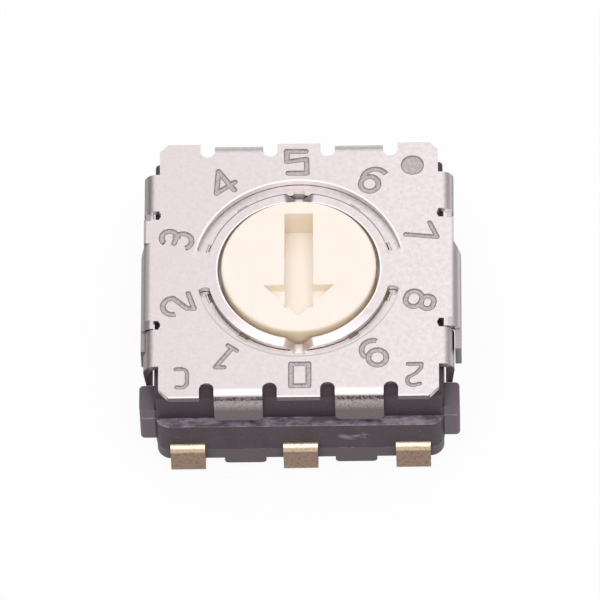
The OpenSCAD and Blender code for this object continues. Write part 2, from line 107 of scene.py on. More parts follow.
class Bench:
    """Adds, cuts, rounds and finishes pieces with Blender's own operators."""

    @staticmethod
    def take(*pieces: bpy.types.Object) -> None:
        """Selects just these pieces, the first one active."""
        bpy.ops.object.select_all(action="DESELECT")
        for piece in pieces:
            piece.select_set(True)
        bpy.context.view_layer.objects.active = pieces[0]

    @staticmethod
    def named(name: str) -> bpy.types.Object:
        """Names the active piece and returns it."""
        piece = bpy.context.active_object
        piece.name = name
        piece.data.name = name
        return piece

    @staticmethod
    def move(piece: bpy.types.Object, place: Matrix) -> None:
        """Puts a piece at a place and keeps the place in its mesh."""
        piece.matrix_world = place
        Bench.settle(piece)

    @staticmethod
    def settle(piece: bpy.types.Object) -> None:
        """Applies a piece's own place, turn and scale to its mesh."""
        Bench.take(piece)
        bpy.ops.object.transform_apply(location=True, rotation=True, scale=True)

    @staticmethod
    def discard(*pieces: bpy.types.Object) -> None:
        """Removes pieces that were only needed to make others."""
        for piece in pieces:
            bpy.data.objects.remove(piece)

    @staticmethod
    def start(name: str, primitive: Callable, scale: Sequence[float] = (1, 1, 1),
              **settings: object) -> bpy.types.Object:
        """Adds a primitive, with nothing else selected and its size in its mesh.

        Args:
            name: Name of the piece.
            primitive: The operator that adds it.
            scale: Its scale along each axis.
            settings: Settings of the operator.

        Returns:
            The new piece.
        """
        bpy.ops.object.select_all(action="DESELECT")
        primitive(**settings)
        piece = Bench.named(name)
        piece.scale = scale
        Bench.settle(piece)
        return piece

    @staticmethod
    def block(name: str, corner: Point, other: Point) -> bpy.types.Object:
        """Adds a block between two opposite corners."""
        return Bench.start(name, bpy.ops.mesh.primitive_cube_add,
                           [abs(b - a) for a, b in zip(corner, other)], size=1,
                           location=[(a + b) / 2 for a, b in zip(corner, other)])

    @staticmethod
    def rod(name: str, radius: float, low: float, high: float, centre: Flat = (0.0, 0.0),
            sides: int = 128) -> bpy.types.Object:
        """Adds an upright round rod from one height to another."""
        return Bench.start(name, bpy.ops.mesh.primitive_cylinder_add, vertices=sides,
                           radius=radius, depth=high - low,
                           location=(*centre, (low + high) / 2))

    @staticmethod
    def face_on(name: str, width: float, middle: Flat, heights: Flat) -> bpy.types.Object:
        """Adds an upright rectangle that faces along Y.

        Args:
            name: Name of the piece that it starts.
            width: Its width along X.
            middle: Its middle, seen from above.
            heights: Its lower and its upper edge.

        Returns:
            The rectangle.
        """
        return Bench.start(name, bpy.ops.mesh.primitive_plane_add,
                           (width, heights[1] - heights[0], 1), size=1,
                           location=(*middle, sum(heights) / 2), rotation=(math.pi / 2, 0, 0))

    @staticmethod
    def arc_band(name: str, radii: Flat, angles: Flat, heights: Flat, steps: int,
                 centre: Flat = (0.0, 0.0)) -> bpy.types.Object:
        """Makes part of a flat ring by spinning its section, or all of it from two rods.

        Args:
            name: Name of the piece.
            radii: Inner and outer radius.
            angles: Where it starts and stops, in degrees from +X.
            heights: Its underside and its top.
            steps: Number of steps along it.
            centre: Centre of the ring.

        Returns:
            The band.
        """
        inner, outer = radii
        low, high = heights
        if angles[1] - angles[0] >= 360:
            band = Bench.rod(name, outer, low, high, centre, steps)
            Bench.cut(band, Bench.rod("bore", inner, low - 1, high + 1, centre, steps))
            return band
        band = Bench.face_on(name, outer - inner, ((inner + outer) / 2, 0), heights)
        Bench.move(band, Matrix.Translation((*centre, 0))
                   @ Matrix.Rotation(math.radians(angles[0]), 4, "Z"))
        Bench.pick(band, "FACE", lambda c, n: True)
        bpy.ops.mesh.spin(steps=steps, angle=-math.radians(angles[1] - angles[0]),
                          center=(*centre, 0), axis=(0, 0, 1))
        Bench.close_strip(band)
        return band

    @staticmethod
    def strip_end(name: str, width: float, y: float, heights: Flat) -> bpy.types.Object:
        """Starts a strip that leaves towards +Y: its end face, open for editing.

        Args:
            name: Name of the strip.
            width: Its width, about the middle plane.
            y: Where it starts.
            heights: Its underside and its top.

        Returns:
            The strip, in edit mode with its end face selected.
        """
        strip = Bench.face_on(name, width, (0, y), heights)
        Bench.pick(strip, "FACE", lambda c, n: True)
        return strip

    @staticmethod
    def bend_down(y: float, z: float, steps: int = 10) -> None:
        """Bends the open strip's end a quarter turn, from +Y to down or from down to -Y."""
        bpy.ops.mesh.spin(steps=steps, angle=math.pi / 2, center=(0, y, z), axis=(1, 0, 0))

    @staticmethod
    def draw_out(way: Point) -> None:
        """Extrudes the open strip's end."""
        bpy.ops.mesh.extrude_region_move(TRANSFORM_OT_translate={"value": way})

    @staticmethod
    def close_strip(strip: bpy.types.Object) -> None:
        """Leaves edit mode and makes the strip a clean solid."""
        Bench.close_edit()
        Bench.outward(strip)

    @staticmethod
    def copy(piece: bpy.types.Object, name: str, place: Matrix) -> bpy.types.Object:
        """Copies a piece with its own mesh and puts the copy elsewhere.

        Args:
            piece: The piece to copy.
            name: Name of the copy.
            place: Where the copy goes. A mirror is allowed.

        Returns:
            The copy, with its place in its mesh.
        """
        twin = piece.copy()
        twin.data = piece.data.copy()
        twin.name = name
        twin.data.name = name
        bpy.context.scene.collection.objects.link(twin)
        Bench.move(twin, place)
        if place.determinant() < 0:
            Bench.outward(twin)
        return twin

    @staticmethod
    def copies(first: bpy.types.Object, places: Iterable[Matrix]) -> list[bpy.types.Object]:
        """Copies a piece to each of some places and removes the first one.

        Args:
            first: The piece to copy, which is used up.
            places: Where the copies go.

        Returns:
            The copies.
        """
        made = [Bench.copy(first, first.data.name, place) for place in places]
        Bench.discard(first)
        return made

    @staticmethod
    def around(first: bpy.types.Object, count: int) -> list[bpy.types.Object]:
        """Copies a piece evenly around the rotor's axis and removes the first one."""
        return Bench.copies(first, [Matrix.Rotation(n * math.tau / count, 4, "Z")
                                    for n in range(count)])

    @staticmethod
    def pick(piece: bpy.types.Object, kind: str,
             test: Callable[[Vector, Vector], bool]) -> None:
        """Opens a piece for editing with some of its vertices, edges or faces selected.

        Args:
            piece: The piece.
            kind: VERT, EDGE or FACE.
            test: Says for a centre and a direction whether it is selected. The direction is
                a face's normal, an edge's own direction, or zero for a vertex.
        """
        Bench.take(piece)
        bpy.ops.object.mode_set(mode="EDIT")
        bpy.ops.mesh.select_mode(type=kind)
        bpy.ops.mesh.select_all(action="DESELECT")
        bpy.ops.object.mode_set(mode="OBJECT")
        mesh = piece.data
        if kind == "FACE":
            for face in mesh.polygons:
                face.select = test(face.center.copy(), face.normal.copy())
        elif kind == "EDGE":
            for edge in mesh.edges:
                a, b = (mesh.vertices[i].co for i in edge.vertices)
                edge.select = test((a + b) / 2, (b - a).normalized())
        else:
            for vertex in mesh.vertices:
                vertex.select = test(vertex.co.copy(), Vector())
        bpy.ops.object.mode_set(mode="EDIT")

    @staticmethod
    def close_edit() -> None:
        """Leaves edit mode."""
        bpy.ops.object.mode_set(mode="OBJECT")

    @staticmethod
    def widen(piece: bpy.types.Object, share: float, centre: Point,
              test: Callable[[Vector, Vector], bool]) -> None:
        """Scales some vertices of a piece along X.

        Args:
            piece: The piece.
            share: New width as a share of the old one.
            centre: What stays in place.
            test: Picks the vertices by their place.
        """
        Bench.pick(piece, "VERT", test)
        bpy.ops.transform.resize(value=(share, 1, 1), center_override=centre)
        Bench.close_edit()

    @staticmethod
    def outward(piece: bpy.types.Object, near: float = 0.5 * HAIR) -> None:
        """Merges doubled vertices of a piece and turns its faces outward."""
        Bench.take(piece)
        bpy.ops.object.mode_set(mode="EDIT")
        bpy.ops.mesh.select_all(action="SELECT")
        bpy.ops.mesh.remove_doubles(threshold=near)
        bpy.ops.mesh.normals_make_consistent(inside=False)
        Bench.close_edit()

    @staticmethod
    def combine(piece: bpy.types.Object, tool: bpy.types.Object, how: Cut,
                finish: bool = False, snap: bool = True) -> None:
        """Cuts a piece with a tool, or welds the tool to it. The tool is used up.

        Args:
            piece: The piece that changes.
            tool: The other solid.
            how: Remove, weld or keep.
            finish: Gives the faces that the tool makes the tool's own finish.
            snap: Brings both to a fine grid first, so that faces meant to be level are.
        """
        for solid in (tool, piece) if snap else ():
            for vertex in solid.data.vertices:
                vertex.co = [round(value * GRID) / GRID for value in vertex.co]
            Bench.outward(solid, 1.5 / GRID)
        Bench.take(piece)
        modifier = piece.modifiers.new("combine", "BOOLEAN")
        modifier.operation = how.value
        modifier.solver = "EXACT"
        modifier.material_mode = "TRANSFER" if finish else "INDEX"
        modifier.object = tool
        bpy.ops.object.modifier_apply(modifier=modifier.name)
        Bench.discard(tool)

    @staticmethod
    def cut(piece: bpy.types.Object, *tools: bpy.types.Object) -> None:
        """Cuts a piece with each of some tools."""
        for tool in tools:
            Bench.combine(piece, tool, Cut.REMOVE)

    @staticmethod
    def weld(piece: bpy.types.Object, *others: bpy.types.Object) -> None:
        """Welds some solids to a piece."""
        for other in others:
            Bench.combine(piece, other, Cut.WELD)

    @staticmethod
    def join(pieces: Sequence[bpy.types.Object], name: str) -> bpy.types.Object:
        """Joins separate meshes into one object and names it."""
        Bench.take(*pieces)
        bpy.ops.object.join()
        return Bench.named(name)

    @staticmethod
    def round_edges(piece: bpy.types.Object, width: float, steps: int = 2) -> None:
        """Rounds the sharp edges of a piece, apart from those of its marks.

        Args:
            piece: The piece.
            width: How far the rounding reaches on either side of an edge, in mm.
            steps: Facets across it.
        """
        mesh = piece.data
        beside: dict[tuple[int, int], list[bpy.types.MeshPolygon]] = {}
        for face in mesh.polygons:
            for key in face.edge_keys:
                beside.setdefault(key, []).append(face)
        weights = mesh.attributes.new("bevel_weight_edge", "FLOAT", "EDGE")
        for index, edge in enumerate(mesh.edges):
            faces = beside.get(tuple(sorted(edge.vertices)), [])
            if len(faces) != 2 or any(face.material_index for face in faces):
                continue
            if faces[0].normal.angle(faces[1].normal, 0.0) > math.radians(SHARP_ANGLE):
                weights.data[index].value = 1.0
        Bench.take(piece)
        modifier = piece.modifiers.new("round", "BEVEL")
        modifier.width = width
        modifier.segments = steps
        modifier.limit_method = "WEIGHT"
        bpy.ops.object.modifier_apply(modifier=modifier.name)

    @staticmethod
    def round_some(piece: bpy.types.Object, radius: float, steps: int,
                   test: Callable[[Vector, Vector], bool] = upright) -> None:
        """Rounds the edges of a piece that a test picks by their middle and direction."""
        Bench.pick(piece, "EDGE", test)
        bpy.ops.mesh.bevel(offset=radius, segments=steps, affect="EDGES")
        Bench.close_edit()

    @staticmethod
    def dress(piece: bpy.types.Object, finish: bpy.types.Material) -> None:
        """Gives a whole piece one finish."""
        piece.data.materials.clear()
        piece.data.materials.append(finish)
        for face in piece.data.polygons:
            face.material_index = 0

    @staticmethod
    def deliver(piece: bpy.types.Object, body: Body, slot: str, nodes: Sequence[str],
                smooth_angle: float = 40.0) -> bpy.types.Object:
        """Shades a finished piece, brings it to metres and puts it on its body.

        Args:
            piece: The finished piece, in millimetres.
            body: The body that it rides on.
            slot: A material slot of the record; not used.
            nodes: The construction's nodes that it stands for.
            smooth_angle: Edges up to this angle in degrees are shaded smooth.

        Returns:
            The piece.
        """
        Bench.take(piece)
        bpy.ops.object.shade_smooth_by_angle(angle=math.radians(smooth_angle))
        modifier = piece.modifiers.new("flats", "WEIGHTED_NORMAL")
        modifier.keep_sharp = True
        modifier.weight = 100
        bpy.ops.object.modifier_apply(modifier=modifier.name)
        piece.scale = (MM, MM, MM)
        Bench.settle(piece)
        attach(piece, body.value)
        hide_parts(*nodes)
        LOG.info("%s: %d faces, on %s", piece.name, len(piece.data.polygons), body.value)
        return piece


# ---------------------------------------------------------------------------
# Finishes
# ---------------------------------------------------------------------------


def linear(code: str) -> tuple[float, float, float, float]:
    """Turns an sRGB hex colour such as "C8A060" into linear light."""
    values = [int(code[i:i + 2], 16) / 255 for i in (0, 2, 4)]
    light = [v / 12.92 if v <= 0.04045 else ((v + 0.055) / 1.055) ** 2.4 for v in values]
    return (light[0], light[1], light[2], 1.0)


def add_node(tree: bpy.types.NodeTree, kind: str, inputs: Optional[dict] = None,
             settings: Optional[dict] = None) -> bpy.types.Node:
    """Adds one shader node with its links, values and settings.

    Args:
        tree: The node tree.
        kind: The end of Blender's name for the node type, such as "Mix".
        inputs: For each input, by name or number: a value, the output to link to it, or the
            node whose first output is linked to it.
        settings: Properties of the node.

    Returns:
        The node.
    """
    node = tree.nodes.new("ShaderNode" + kind)
    for key, value in (settings or {}).items():
        setattr(node, key, value)
    for key, value in (inputs or {}).items():
        if isinstance(value, bpy.types.Node):
            value = value.outputs[0]
        if isinstance(value, bpy.types.NodeSocket):
            tree.links.new(value, node.inputs[key])
        else:
            node.inputs[key].default_value = value
    return node


def per_metre(cell: float) -> float:
    """Scale of a pattern on Object coordinates whose cells measure this many mm."""
    return 1.0 / (cell * MM)


def empty_material(name: str) -> bpy.types.Material:
    """Makes a material without any nodes."""
    made = bpy.data.materials.new(name)
    made.use_nodes = True
    made.node_tree.nodes.clear()
    return made


def measure(tree: bpy.types.NodeTree, point: Socket) -> dict[str, Socket]:
    """Measures the shaded point and the way its surface looks.

    Args:
        tree: The node tree.
        point: Object coordinates of the point.

    Returns:
        The place as x, y and up, the same without sign as across and along, the distance
        from the rotor's axis as away, and the upward share of the normal as facing.
    """
    place = add_node(tree, "SeparateXYZ", {"Vector": point})
    normal = add_node(tree, "NewGeometry").outputs["Normal"]
    facing = add_node(tree, "SeparateXYZ", {"Vector": normal})
    flat = add_node(tree, "VectorMath", {0: point, 1: (1.0, 1.0, 0.0)},
                    {"operation": "MULTIPLY"})
    away = add_node(tree, "VectorMath", {0: flat}, {"operation": "LENGTH"})
    found = {"x": place.outputs["X"], "y": place.outputs["Y"], "up": place.outputs["Z"],
             "away": away.outputs["Value"], "facing": facing.outputs["Z"]}
    for name, axis in (("across", "x"), ("along", "y")):
        found[name] = add_node(tree, "Math", {0: found[axis]},
                               {"operation": "ABSOLUTE"}).outputs[0]
    return found


def paint(tree: bpy.types.NodeTree, colour: Socket | Colour,
          coats: Iterable[tuple]) -> Socket:
    """Lays coats of colour over each other.

    Args:
        tree: The node tree.
        colour: What lies under all the coats.
        coats: For each coat its colour, and then either the share that it covers, or a value,
            the two bounds between which the share rises with it, and optionally the most
            that it reaches.

    Returns:
        The colour on top.
    """
    for tone, share, *bounds in coats:
        if bounds:
            share = add_node(tree, "MapRange", {"Value": share, **dict(
                zip(("From Min", "From Max", "To Max"), bounds))})
        colour = add_node(tree, "Mix", {
            "Factor": share, 6: colour, 7: linear(tone) if isinstance(tone, str) else tone},
            {"data_type": "RGBA"}).outputs[2]
    return colour


@dataclass(frozen=True)
class Finish:
    """A finish of one material. A child class draws it."""

    name: str = "finish"

    def draw(self, tree: bpy.types.NodeTree, point: Socket) -> dict:
        """Gives the inputs of the surface shader.

        Args:
            tree: The material's node tree.
            point: Object coordinates of the shaded point.

        Returns:
            Values and outputs for the inputs of the surface shader.
        """
        raise NotImplementedError

    def material(self) -> bpy.types.Material:
        """Makes the Blender material of the finish."""
        made = empty_material(self.name)
        tree = made.node_tree
        point = add_node(tree, "TexCoord").outputs["Object"]
        shader = add_node(tree, "BsdfPrincipled", self.draw(tree, point))
        add_node(tree, "OutputMaterial", {"Surface": shader})
        return made


@dataclass(frozen=True)
class SatinSteel(Finish):
    """Stainless spring sheet, rolled and tumbled.

    The tumbling gives a satin grey with faint mottling and a few fine pits, with painted shade
    darkening it towards the left. The folding tool has burnished the top of the tabs' bends;
    below them a speckled band of scuffs lies over painted shade, and the rest of the tabs is
    painted darker as shade. The flaps and hooks at the sides carry a painted highlight where they
    face sideways and painted shade where they face up, low down and on the left. Painted
    highlights brighten the rim of the front and rear edges, the front and the inner rim of the
    spring ring and the far outer rim of its slots; painted shade darkens the upright faces at the
    front and rear edges, a thin line along the near outer edge of the slots and a thin line at the
    ring's outer edge on the far side.
    """

    name: str = "satin_stainless_sheet"
    flat: str = "DED4D5"
    mottle: str = "D3C9CA"
    pit: str = "A79D9E"
    # painted shade: the sheet darkens towards the left
    leftward_shade: str = "CFC4C5"
    # painted shade: a thin line along the near outer edge of the ring's slots
    slot_edge_shade: str = "A89E9F"
    burnished: str = "DCD3D4"
    # painted shade on the tabs below their bends, with the scuffs over it; lowest is painted shade
    # darker still on their lower part
    fold_shade: str = "B5A9AB"
    scuff: str = "62595B"
    lowest: str = "73686A"
    # painted highlight on the sideways faces of the flaps and hooks; the next three are painted
    # shade where they face up, low down and on the left
    side: str = "EEE6E8"
    side_level_shade: str = "C0B6B8"
    side_low_shade: str = "A09698"
    side_left_shade: str = "837A7C"
    # painted highlight on the rims of the front and rear edges, the spring ring's front and inner
    # rim, and the slots' far outer rim
    painted_highlight: str = "F4ECED"
    # painted shade: a thin line at the ring's outer edge on the far side
    line: str = "8A8082"
    # painted shade on the upright faces at the front and rear edges
    sheared: str = "746A6D"
    roughness: float = 0.36
    tab_from: float = 3.10
    tab_middle: float = 1.36
    tab_half: float = 0.57
    edge_from: float = 3.37
    ring_middle: float = 1.96
    ring_half: float = 0.117
    inner_rim_r: float = 1.85
    outer_rim_r: float = 2.382
    ring_rim_r: float = 2.062
    burr_r: float = 2.336
    flap_to: float = 1.33
    hook_grey: float = 3.34
    flap_extra: float = 0.11
    cloud_cell: float = 0.12
    grain_cell: float = 0.05

    def bands(self) -> tuple[tuple[str, str, float, float], ...]:
        """Lists shares that are whole near a size in mm: name, measure, size and reach."""
        # the first band places the painted shade line at the slots' near outer edge; the rim bands
        # place painted highlights and a painted shade line
        return (("slot_edge_shade", "away", self.burr_r, 0.016),
                ("ring", "away", self.ring_middle, self.ring_half),
                ("inner_rim_highlight", "away", self.inner_rim_r, 0.016),
                ("outer_rim", "away", self.outer_rim_r, 0.024),
                ("ring_rim", "away", self.ring_rim_r, 0.014),
                ("tab_width", "across", self.tab_middle, self.tab_half))

    def slopes(self) -> tuple[tuple[str, str, float, float, float], ...]:
        """Lists shares that rise between two places: name, measure, both in mm, and most."""
        # the first slope places the painted shade towards the left
        return (("leftward_shade", "x", 3.3, -3.3, 0.8), ("near", "y", -0.3, -1.4, 0.7),
                ("front", "y", -1.2, -1.8, 1.0), ("far", "y", 0.3, 0.9, 1.0),
                ("left", "x", 0.0, -1.0, 0.6),
                ("edge", "along", self.edge_from, self.edge_from + 0.02, 1.0),
                ("past_tab", "along", self.tab_from, self.tab_from + 0.02, 1.0),
                ("bent", "up", 2.758, 2.75, 1.0),
                ("under_bend", "up", 2.683, 2.668, 1.0),
                ("under_scuff", "up", 2.612, 2.582, 1.0),
                ("under_fold", "up", 2.52, 2.22, 1.0), ("side", "past", -0.02, 0.02, 1.0),
                ("low", "up", 2.66, 2.60, 1.0))

    def draw(self, tree: bpy.types.NodeTree, point: Socket) -> dict:
        """Draws mottling, pits, the scuffed tabs, and the painted highlights and shade on the
        tabs, sides, rims and edges.
        """
        at = measure(tree, point)
        middle = add_node(tree, "Math", {0: at["along"], 1: self.flap_to * MM},
                          {"operation": "LESS_THAN"})
        grey_from = add_node(tree, "Math", {
            0: middle, 1: self.flap_extra * MM, 2: self.hook_grey * MM},
            {"operation": "MULTIPLY_ADD"})
        at["past"] = add_node(tree, "Math", {0: at["across"], 1: grey_from},
                              {"operation": "SUBTRACT"}).outputs[0]
        clouds, grain = (add_node(tree, "TexNoise", {
            "Vector": point, "Scale": per_metre(cell), "Detail": detail}).outputs[0]
            for cell, detail in ((self.cloud_cell, 3.0), (self.grain_cell, 2.0)))
        shares = {}
        for name, value, about, within in self.bands():
            shares[name] = add_node(tree, "Math", {0: at[value], 1: about * MM, 2: within * MM},
                                    {"operation": "COMPARE"}).outputs[0]
        ramps = [(name, at[value], start * MM, end * MM, most)
                 for name, value, start, end, most in self.slopes()]
        ramps += [("mottled", clouds, 0.36, 0.68, 1.0), ("pitted", grain, 0.66, 0.76, 0.3),
                  ("torn", grain, 0.40, 0.56, 1.0), ("speckled", grain, 0.45, 0.62, 0.45),
                  ("level", at["facing"], 0.1, 0.9, 1.0),
                  ("upright", at["facing"], 0.72, 0.2, 1.0)]
        for name, value, start, end, most in ramps:
            shares[name] = add_node(tree, "MapRange", {
                "Value": value, "From Min": start, "From Max": end,
                "To Max": most}).outputs["Result"]
        # These shares place the painted highlights and shade on the rims, lines, edges, tabs and
        # sides.
        for name, one, other in (
                ("near_slot_edge_shade", "slot_edge_shade", "near"), ("ring_front_highlight", "ring", "front"),
                ("far_rim_highlight", "outer_rim", "far"), ("far_shade_line", "ring_rim", "far"),
                ("tab", "past_tab", "tab_width"), ("edge_side_shade", "edge", "upright"),
                ("burnished", "tab", "bent"), ("fold_shade", "tab", "under_bend"),
                # clean is the tabs' lower part, painted with the fold shade
                ("scuffed", "fold_shade", "torn"), ("clean", "tab", "under_scuff"),
                ("flecked", "clean", "speckled"), ("lowest", "tab", "under_fold"),
                ("side_level_shade", "side", "level"), ("side_low_shade", "side", "low"),
                ("side_left_shade", "side", "left")):
            shares[name] = add_node(tree, "Math", {0: shares[one], 1: shares[other]},
                                    {"operation": "MULTIPLY"}).outputs[0]
        # Over the mottling and pits go painted highlights on rims and edges and painted shade on
        # lines, upright faces, tabs and sides.
        colour = paint(tree, linear(self.flat), ((tone, shares[name]) for name, tone in (
            ("mottled", self.mottle), ("pitted", self.pit), ("leftward_shade", self.leftward_shade),
            ("near_slot_edge_shade", self.slot_edge_shade), ("ring_front_highlight", self.painted_highlight),
            ("inner_rim_highlight", self.painted_highlight), ("far_rim_highlight", self.painted_highlight), ("far_shade_line", self.line),
            ("edge", self.painted_highlight), ("edge_side_shade", self.sheared),
            ("burnished", self.burnished), ("fold_shade", self.fold_shade), ("scuffed", self.scuff),
            ("clean", self.fold_shade), ("flecked", self.scuff), ("lowest", self.lowest),
            ("side", self.side), ("side_level_shade", self.side_level_shade),
            ("side_low_shade", self.side_low_shade), ("side_left_shade", self.side_left_shade))))
        rough = add_node(tree, "MapRange", {
            "Value": grain, "From Min": 0.3, "From Max": 0.7,
            "To Min": self.roughness - 0.08, "To Max": self.roughness + 0.1})
        relief = add_node(tree, "Bump", {
            "Strength": 0.5, "Distance": 0.004 * MM, "Height": grain})
        return {"Base Color": colour, "Metallic": 1.0, "Roughness": rough, "Normal": relief}


@dataclass(frozen=True)
class LaserMark(Finish):
    """Steel darkened by a laser: matt and even, because the beam leaves a fine oxide."""

    name: str = "laser_marked_steel"
    grey: str = "C6BCBC"
    burnt: str = "B3A9AA"
    roughness: float = 0.6

    def draw(self, tree: bpy.types.NodeTree, point: Socket) -> dict:
        """Draws the uneven overlap of the beam's passes."""
        passes = add_node(tree, "TexNoise", {
            "Vector": point, "Scale": per_metre(0.06), "Detail": 2.0})
        colour = paint(tree, linear(self.grey), [(self.burnt, passes, 0.4, 0.6)])
        return {"Base Color": colour, "Metallic": 0.5, "Roughness": self.roughness}


@dataclass(frozen=True)
class MouldedIvory(Finish):
    """Ivory nylon, moulded and faintly translucent.

    A painted glow stands in for light that has been inside it: the floor and walls of its slot
    and the side of its head, which glows the most, are painted lighter and warmer. The flange
    under the cover, which light hardly reaches, carries a painted warm shade. The mould gives it a
    silky sheen.
    """

    name: str = "moulded_ivory_nylon"
    face: str = "FFECE1"
    # painted light: wall, floor and edge lighten and warm the slot's walls, its floor and the
    # head's side as a painted glow
    wall: str = "FFF2E0"
    floor: str = "FFF6EE"
    edge: str = "FFE7CE"
    # painted warm shade on the flange under the cover
    flange: str = "FFF0DC"
    roughness: float = 0.42
    floor_z: float = 2.70
    edge_r: float = 1.69
    flange_r: float = 1.79
    glow: float = 0.35

    def draw(self, tree: bpy.types.NodeTree, point: Socket) -> dict:
        """Draws the painted glow of the slot and the head's side, the painted shade of the flange
        and the fine skin of the moulding.
        """
        at = measure(tree, point)
        steep = add_node(tree, "MapRange", {
            "Value": at["facing"], "From Min": 0.95, "From Max": 0.4})
        rim = add_node(tree, "Math", {0: at["away"], 1: self.edge_r * MM},
                       {"operation": "GREATER_THAN"})
        outside = add_node(tree, "Math", {0: steep, 1: rim}, {"operation": "MULTIPLY"})
        # painted glow on the slot's floor and walls and the head's side, painted shade on the
        # flange
        colour = paint(tree, linear(self.face), [
            (self.floor, at["up"], self.floor_z * MM, (self.floor_z - 0.1) * MM),
            (self.wall, at["facing"], 0.8, 0.3), (self.edge, outside),
            (self.flange, at["away"], self.flange_r * MM, (self.flange_r + 0.05) * MM)])
        skin = add_node(tree, "TexNoise", {
            "Vector": point, "Scale": per_metre(0.10), "Detail": 2.0})
        relief = add_node(tree, "Bump", {
            "Strength": 0.4, "Distance": 0.004 * MM, "Height": skin})
        weight = add_node(tree, "MapRange", {
            "Value": outside, "To Min": self.glow, "To Max": 1.0})
        return {"Base Color": colour, "Roughness": self.roughness, "IOR": 1.53,
                "Subsurface Weight": weight, "Subsurface Radius": (1.0, 0.9, 0.75),
                "Subsurface Scale": 0.25 * MM, "Normal": relief}


@dataclass(frozen=True)
class MouldedDark(Finish):
    """Dark brown heat-proof nylon, moulded from a spark-eroded tool.

    The tool leaves a fine matt grain and the glass in the plastic shows as pale specks. The
    ledge is paler in streaks, a painted highlight; the upper wall under the cover carries painted
    shade and the ears painted light. The spot on the front wall where the mould's gate was torn
    off and the flecks along the parting line are rough and paler.
    """

    name: str = "moulded_dark_brown_nylon"
    face: str = "473B42"
    patch: str = "3D3239"
    # painted shade on the upper wall under the cover
    upper: str = "42353D"
    fibre: str = "85797F"
    # painted highlight on the ledge, in streaks
    ledge: str = "A99BA8"
    low: str = "62575C"
    # painted light on the ears
    ear: str = "685C62"
    torn: str = "A69CAA"
    roughness: float = 0.48
    ledge_z: float = 1.66
    ledge_from: float = 3.24
    low_z: float = 0.70
    ear_from: float = 3.26
    gate: Point = (1.2, -3.49, 1.2)
    gate_flatness: float = 2.2
    flow_cell: float = 0.7
    grain_cell: float = 0.045
    streak_cell: float = 0.16

    def draw(self, tree: bpy.types.NodeTree, point: Socket) -> dict:
        """Draws the flow of the plastic, its grain, its glass specks, the painted highlight on the
        ledge, the painted shade on the upper wall and the painted light on the ears.
        """
        at = measure(tree, point)
        drawn = add_node(tree, "VectorMath", {0: point, 1: (0.4, 1.0, 1.0)},
                         {"operation": "MULTIPLY"})
        flow, grain, streaks = (add_node(tree, "TexNoise", {
            "Vector": where, "Scale": per_metre(cell), "Detail": detail, "Roughness": rough})
            for where, cell, detail, rough in (
                (point, self.flow_cell, 3.0, 0.5), (point, self.grain_cell, 2.0, 0.5),
                (drawn, self.streak_cell, 4.0, 0.7)))
        shape = (1.0, 1.0, self.gate_flatness)
        spot = add_node(tree, "VectorMath", {0: point, 1: shape}, {"operation": "MULTIPLY"})
        off_gate = add_node(tree, "VectorMath", {
            0: spot, 1: tuple(value * MM * by for value, by in zip(self.gate, shape))},
            {"operation": "DISTANCE"}).outputs["Value"]
        shares = {}
        for name, kind, value, about, within in (
                ("ear", "GREATER_THAN", "across", self.ear_from, 0.0),
                ("off_ledge", "COMPARE", "up", self.ledge_z, 0.03),
                ("front", "GREATER_THAN", "along", self.ledge_from, 0.0),
                ("parting", "COMPARE", "up", self.low_z, 0.018)):
            shares[name] = add_node(tree, "Math", {
                0: at[value], 1: about * MM, 2: within * MM}, {"operation": kind})
        # The first share streaks the painted highlight on the ledge.
        for name, value, start, end, least, most in (
                ("painted_highlight", streaks, 0.42, 0.62, 0.25, 1.0),
                ("gate", off_gate, 0.40 * MM, 0.25 * MM, 0.0, 1.0),
                ("flecks", streaks, 0.50, 0.60, 0.0, 0.5),
                ("flash", streaks, 0.50, 0.62, 0.0, 0.6)):
            shares[name] = add_node(tree, "MapRange", {
                "Value": value, "From Min": start, "From Max": end,
                "To Min": least, "To Max": most})
        for name, kind, one, other in (
                ("on_ledge", "MULTIPLY", "off_ledge", "front"),
                ("ledge_highlight", "MULTIPLY", "on_ledge", "painted_highlight"),
                ("at_gate", "MULTIPLY", "gate", "flecks"),
                ("at_parting", "MULTIPLY", "parting", "flash"),
                ("torn", "MAXIMUM", "at_gate", "at_parting")):
            shares[name] = add_node(tree, "Math", {0: shares[one], 1: shares[other]},
                                    {"operation": kind})
        # Painted shade on the upper wall, painted light on the ears and a streaked painted
        # highlight on the ledge go over the plastic's own flow, specks and marks.
        colour = paint(tree, linear(self.face), [
            (self.patch, flow, 0.35, 0.65),
            (self.upper, at["up"], (self.ledge_z + 0.02) * MM, (self.ledge_z + 0.06) * MM),
            (self.ear, shares["ear"]), (self.fibre, grain, 0.66, 0.74, 0.35),
            (self.low, at["up"], (self.low_z + 0.01) * MM, (self.low_z - 0.02) * MM, 0.8),
            (self.ledge, shares["ledge_highlight"]), (self.torn, shares["torn"])])
        relief = add_node(tree, "Bump", {
            "Strength": 0.7, "Distance": 0.008 * MM, "Height": grain})
        return {"Base Color": colour, "Roughness": self.roughness, "IOR": 1.53,
                "Specular IOR Level": 0.3, "Normal": relief}


